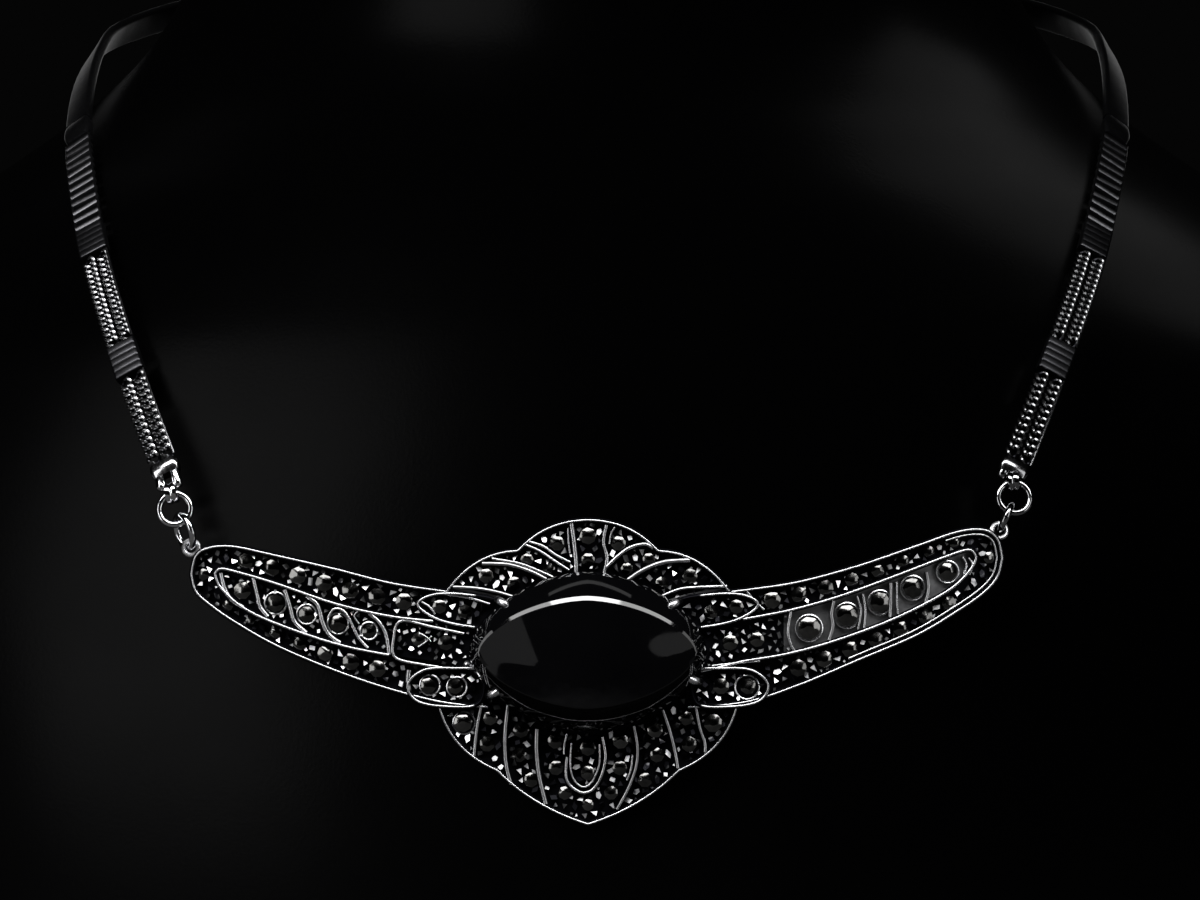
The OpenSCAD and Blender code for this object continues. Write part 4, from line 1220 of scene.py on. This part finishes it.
def woven(side, start, end):
    """Two rows of interlocking curb links, whose upper strands slant down to the right."""
    shape, curve = Shape(), curb_link()
    first, last = start + curve[0][0] + LINK_WIRE / 2, end - curve[0][0] - LINK_WIRE / 2
    count = int(round((last - first) / LINK_PITCH))
    widest = CHAIN_W / 2 - 2 * LINK_CLEAR
    for row in (-1, 1):
        for k in range(count + 1):
            centre, run, right, out = station(first + (last - first) / count * k, side)
            lean = draw.gauss(0, LINK_LEAN)
            points, polish = [], []
            for i, middle in enumerate(curve):
                way = unit(row_at(curve, i + 1, True) - row_at(curve, i - 1, True))
                flat = unit(np.cross(way, (0, 0, 1)))
                for p in circle(middle, flat, np.cross(flat, way), LINK_WIRE / 2, LINK_SIDES):
                    across = max(-widest, min(widest, row * CHAIN_W / 4 + p[1]))
                    points.append(centre + run * p[0] + right * across + out * (p[2] + lean * p[1]))
                    polish.append(min(1.0, max(0.0, (p[2] - LINK_DARK) / LINK_LIFT)))
            shape.tube(points, LINK_SIDES, polish, closed=True)
    return shape


def slatted(side, start, end):
    """Stretch of cross slats between two edge wires."""
    shape = Shape()
    count = int(round((end - start) / SLAT_PITCH))
    pitch = (end - start) / count
    for k in range(count):
        slant = draw.uniform(-SLAT_SLANT, SLAT_SLANT)
        points, polish = [], []
        for u, size in SLAT_ROWS:
            centre, run, right, out = station(start + pitch * (k + 0.5) + slant * u, side)
            for q in turns(SLAT_SIDES):
                along, high = SLAT_SHARE * pitch * cos(q) * size, SLAT_HALF * sin(q) * size
                points.append(centre + right * u + run * along + out * high)
                polish.append(0.25 + 0.6 * max(0.0, sin(q)))
        shape.tube(points, SLAT_SIDES, polish)
    for edge in (-1, 1):
        edge_cord(shape, side, start + JOINT_GAP, end - JOINT_GAP, edge * SLAT_EDGE, SLAT_EDGE_RISE)
    return shape


def capsule(shape, a, b, r_a, r_b, sides=16):
    """Closed rounded bar from a ball at a to a ball at b."""
    run = unit(b - a)
    rings = [(a - run * r_a * cos(t), r_a * sin(t)) for t in (0.3, 0.7, 1.1, pi / 2)]
    rings += [(b + run * r_b * sin(t), r_b * cos(t)) for t in (0.0, 0.5, 0.9, 1.3)]
    shape.tube([p for c, r in rings for p in circle(c, *square_to(run, 1), r, sides)], sides)


def chain_end(side, at):
    """End bar of the chain on two lobes, and its bail, a strap with soft edges and a groove."""
    shape = Shape()
    across, bail = np.cross(at.face, at.rise), in_frame(at.bail)
    half = [(w * BAIL_W / 2, t * BAIL_T / 2) for w, t in BAIL_SECTION]
    hoop(shape, bail, across, BAIL_R, half + [(-u, v) for u, v in half[-2::-1]])
    band(shape, side, 0, END_LEN, CHAIN_W, CHAIN_T + 0.3, bulge(0.9, 0.8), 0.15, 0.5, 0.45)
    neck, run, right, out = station(END_LEN / 2, side)
    for way in (-1, 1):
        foot = bail + at.rise * BAIL_R + across * way * LOBE_OFFSET
        ends = (neck + right * LOBE_OFFSET, neck - right * LOBE_OFFSET)
        capsule(shape, foot, min(ends, key=lambda q: np.linalg.norm(q - foot)), LOBE_R, LOBE_NECK)
    return shape


# Bars of the chain. Columns: piece, node, start, end, width, thickness, swell, step, edge radius, polish
PLATE = (CHAIN_W, CHAIN_T + 0.15, ribbed, 0.08, 0.28, 0.42)
CHAIN_BARS = [
    ("chain_plate_1_bar", "chain_plate_1", WEAVE_1_END, PLATE_1_END, *PLATE),
    ("chain_plate_2_bar", "chain_plate_2", WEAVE_2_END, PLATE_2_END, *PLATE),
    ("knuckle_bar", "knuckle", WEAVE_3_END, KNUCKLE_END,
     CHAIN_W + 0.1, CHAIN_T + 0.35, bulge(0.8, 0.75), 0.25, 0.5, 0.35),
    ("smooth_strap", "smooth_band", KNUCKLE_END + JOINT_GAP, ROUTE_TOTAL - CLASP_LEN / 2 - JOINT_GAP,
     CHAIN_W - 0.2, CHAIN_T, None, 1.2, 0.35, 0.3)]


def chain(side, word):
    def place(shape, name, material, node):
        shape.piece(f"{word}_{name}", material[side], "chain_silver", f"{word}_{node}")

    at = Hanging(side)
    upper, lower = Shape(), Shape()
    ring(upper, in_frame(at.ring), at.face, RING_R, RING_WIRE)
    ring(lower, in_frame(at.link), at.link_face, LINK_RADII[side], RING_WIRE)
    place(upper, "round_ring", RINGS, "upper_ring")
    place(lower, "cross_ring", RINGS, "lower_ring")
    place(chain_end(side, at), "end_link", RINGS, "chain_end")
    for name, start, end in (("weave_1", END_LEN, WEAVE_1_END), ("weave_2", PLATE_1_END, WEAVE_2_END)):
        shape, edge = woven(side, start + JOINT_GAP, end - JOINT_GAP), CHAIN_W / 2 - EDGE_WIRE_R
        edge_cord(shape, side, start + 2 * JOINT_GAP, end - 2 * JOINT_GAP, edge, EDGE_WIRE_RISE)
        place(shape, name + "_links", CHAIN, name)
    # The slats and bars below get the darker silver of painted shade.
    shape = slatted(side, PLATE_2_END + JOINT_GAP, WEAVE_3_END - JOINT_GAP)
    place(shape, "weave_3_slats", SHADED_SILVER, "weave_3")
    for name, node, *sizes in CHAIN_BARS:
        shape = Shape()
        band(shape, side, *sizes)
        place(shape, name, SHADED_SILVER, node)


def eyelets():
    shape = Shape()
    for side in (-1, 1):
        ring(shape, in_frame(EYELET_POINTS[side]), Hanging(side).face, EYELET_R, EYELET_WIRE, 28, 10)
    shape.piece("front_bar_eyelets", SILVER, "oxidised_silver", "front_frame")


def clasp():
    """Box clasp with rounded corners, a seam at its middle and softer ends."""
    shape, points = Shape(), []
    middle = in_frame((0, ROUTE_ROWS[-1][1] + CLASP_BACK, ROUTE_ROWS[-1][2]))
    for x, grow in [(-x, grow) for x, grow in CLASP_ROWS] + CLASP_ROWS[-2::-1]:
        for q in turns(CLASP_SIDES):
            c, s = (copysign(abs(part(q)) ** 0.5, part(q)) for part in (cos, sin))
            points.append(middle + (x, CLASP_T / 2 * grow * c, CLASP_W / 2 * grow * s))
    shape.tube(points, CLASP_SIDES)
    shape.piece("clasp_case", RINGS[-1], "chain_silver", "clasp")


neck_bust()
front_bar()
black_stone()
prongs()
eyelets()
for side, word in SIDES:
    chain(side, word)
clasp()


# Floor, lights and camera, in metres
FLOOR_RADIUS = 0.49
FLOOR_SIDES = 96
LIGHT_AIM = (0.0, -0.05, 0.08)
CAMERA_AIM = (0.0012, -0.0535, 0.0951)
CAMERA_AZIMUTH = 1.0
CAMERA_DISTANCE = 0.7
CAMERA_LENS = 210.0
WORLD_STRENGTH = 0.0015
# Area lights. Columns: name, azimuth, elevation, distance, width, height, radiance, lit group, roll, shape
SOFTBOXES = [
    ("key_softbox", -3, 52, 0.55, 1.0, 0.2, 10.5, jewellery),
    ("arc_strip", 0, 52, 0.55, 0.8, 0.06, 26.0, stone_only),
    ("left_side_strip", -52, 5, 0.55, 0.12, 0.4, 3.5, jewellery),
    ("right_side_strip", 52, 5, 0.55, 0.12, 0.4, 2.5, jewellery),
    ("bevel_strip", 0, 97, 0.55, 0.4, 0.025, 0.7, stone_only),
    ("left_facet_softbox", -33.4, 8.7, 0.8, 0.34, 0.52, 0.32, stone_only, 29.0),
    ("right_facet_softbox", 23, 2.0, 0.8, 0.19, 0.08, 0.3, stone_only, 0.0, "ELLIPSE"),
    ("left_softbox", -40, 22, 0.8, 0.44, 0.75, 1.0, display),
    ("right_softbox", 112, 58, 0.8, 0.42, 0.42, 0.6, display),
    ("back_softbox", 180, 8, 0.9, 0.9, 0.35, 0.4, jewellery),
    ("back_top_softbox", 180, 62, 0.9, 0.9, 0.3, 0.3, display)]


def floor():
    mesh = bpy.data.meshes.new("floor")
    edge = [(FLOOR_RADIUS * cos(t), FLOOR_RADIUS * sin(t), 0.0) for t in turns(FLOOR_SIDES)]
    mesh.from_pydata(edge, [], [tuple(range(FLOOR_SIDES))])
    mesh.materials.append(floor_material())
    obj = placed("floor", mesh, display)


def look_from(obj, aim, azimuth, elevation, distance):
    """Faces a light or camera to the aim from this azimuth (0 in front, 90 at the right) and elevation."""
    a, e = radians(azimuth), radians(elevation)
    way = Vector((sin(a) * cos(e), -cos(a) * cos(e), sin(e)))
    obj.location = Vector(aim) + way * distance
    obj.rotation_mode = "QUATERNION"
    obj.rotation_quaternion = (-way).to_track_quat("-Z", "Y")


def softbox(name, azimuth, elevation, distance, width, height, radiance, lit, roll=0.0, shape="RECTANGLE"):
    data = bpy.data.lights.new(name, "AREA")
    data.shape = shape
    data.size, data.size_y = width, height
    data.energy = radiance * pi * width * height
    obj = placed(name, data)
    look_from(obj, LIGHT_AIM, azimuth, elevation, distance)
    obj.rotation_quaternion = obj.rotation_quaternion @ Quaternion((0.0, 0.0, 1.0), radians(roll))
    obj.visible_camera = False
    obj.light_linking.receiver_collection = lit


def camera():
    data = bpy.data.cameras.new("camera")
    data.lens, data.sensor_width = CAMERA_LENS, 36.0
    data.clip_start, data.clip_end = 0.05, 10.0
    obj = placed("camera", data)
    look_from(obj, CAMERA_AIM, CAMERA_AZIMUTH, 0.0, CAMERA_DISTANCE)
    bpy.context.scene.camera = obj


def world():
    surroundings = bpy.data.worlds.new("dim_studio")
    surroundings.use_nodes = True
    background = surroundings.node_tree.nodes["Background"]
    background.inputs["Color"].default_value = (1.0, 1.0, 1.0, 1.0)
    background.inputs["Strength"].default_value = WORLD_STRENGTH
    bpy.context.scene.world = surroundings


floor()
for row in SOFTBOXES:
    softbox(*row)
camera()
world()
bpy.context.scene.view_settings.view_transform = "Standard"
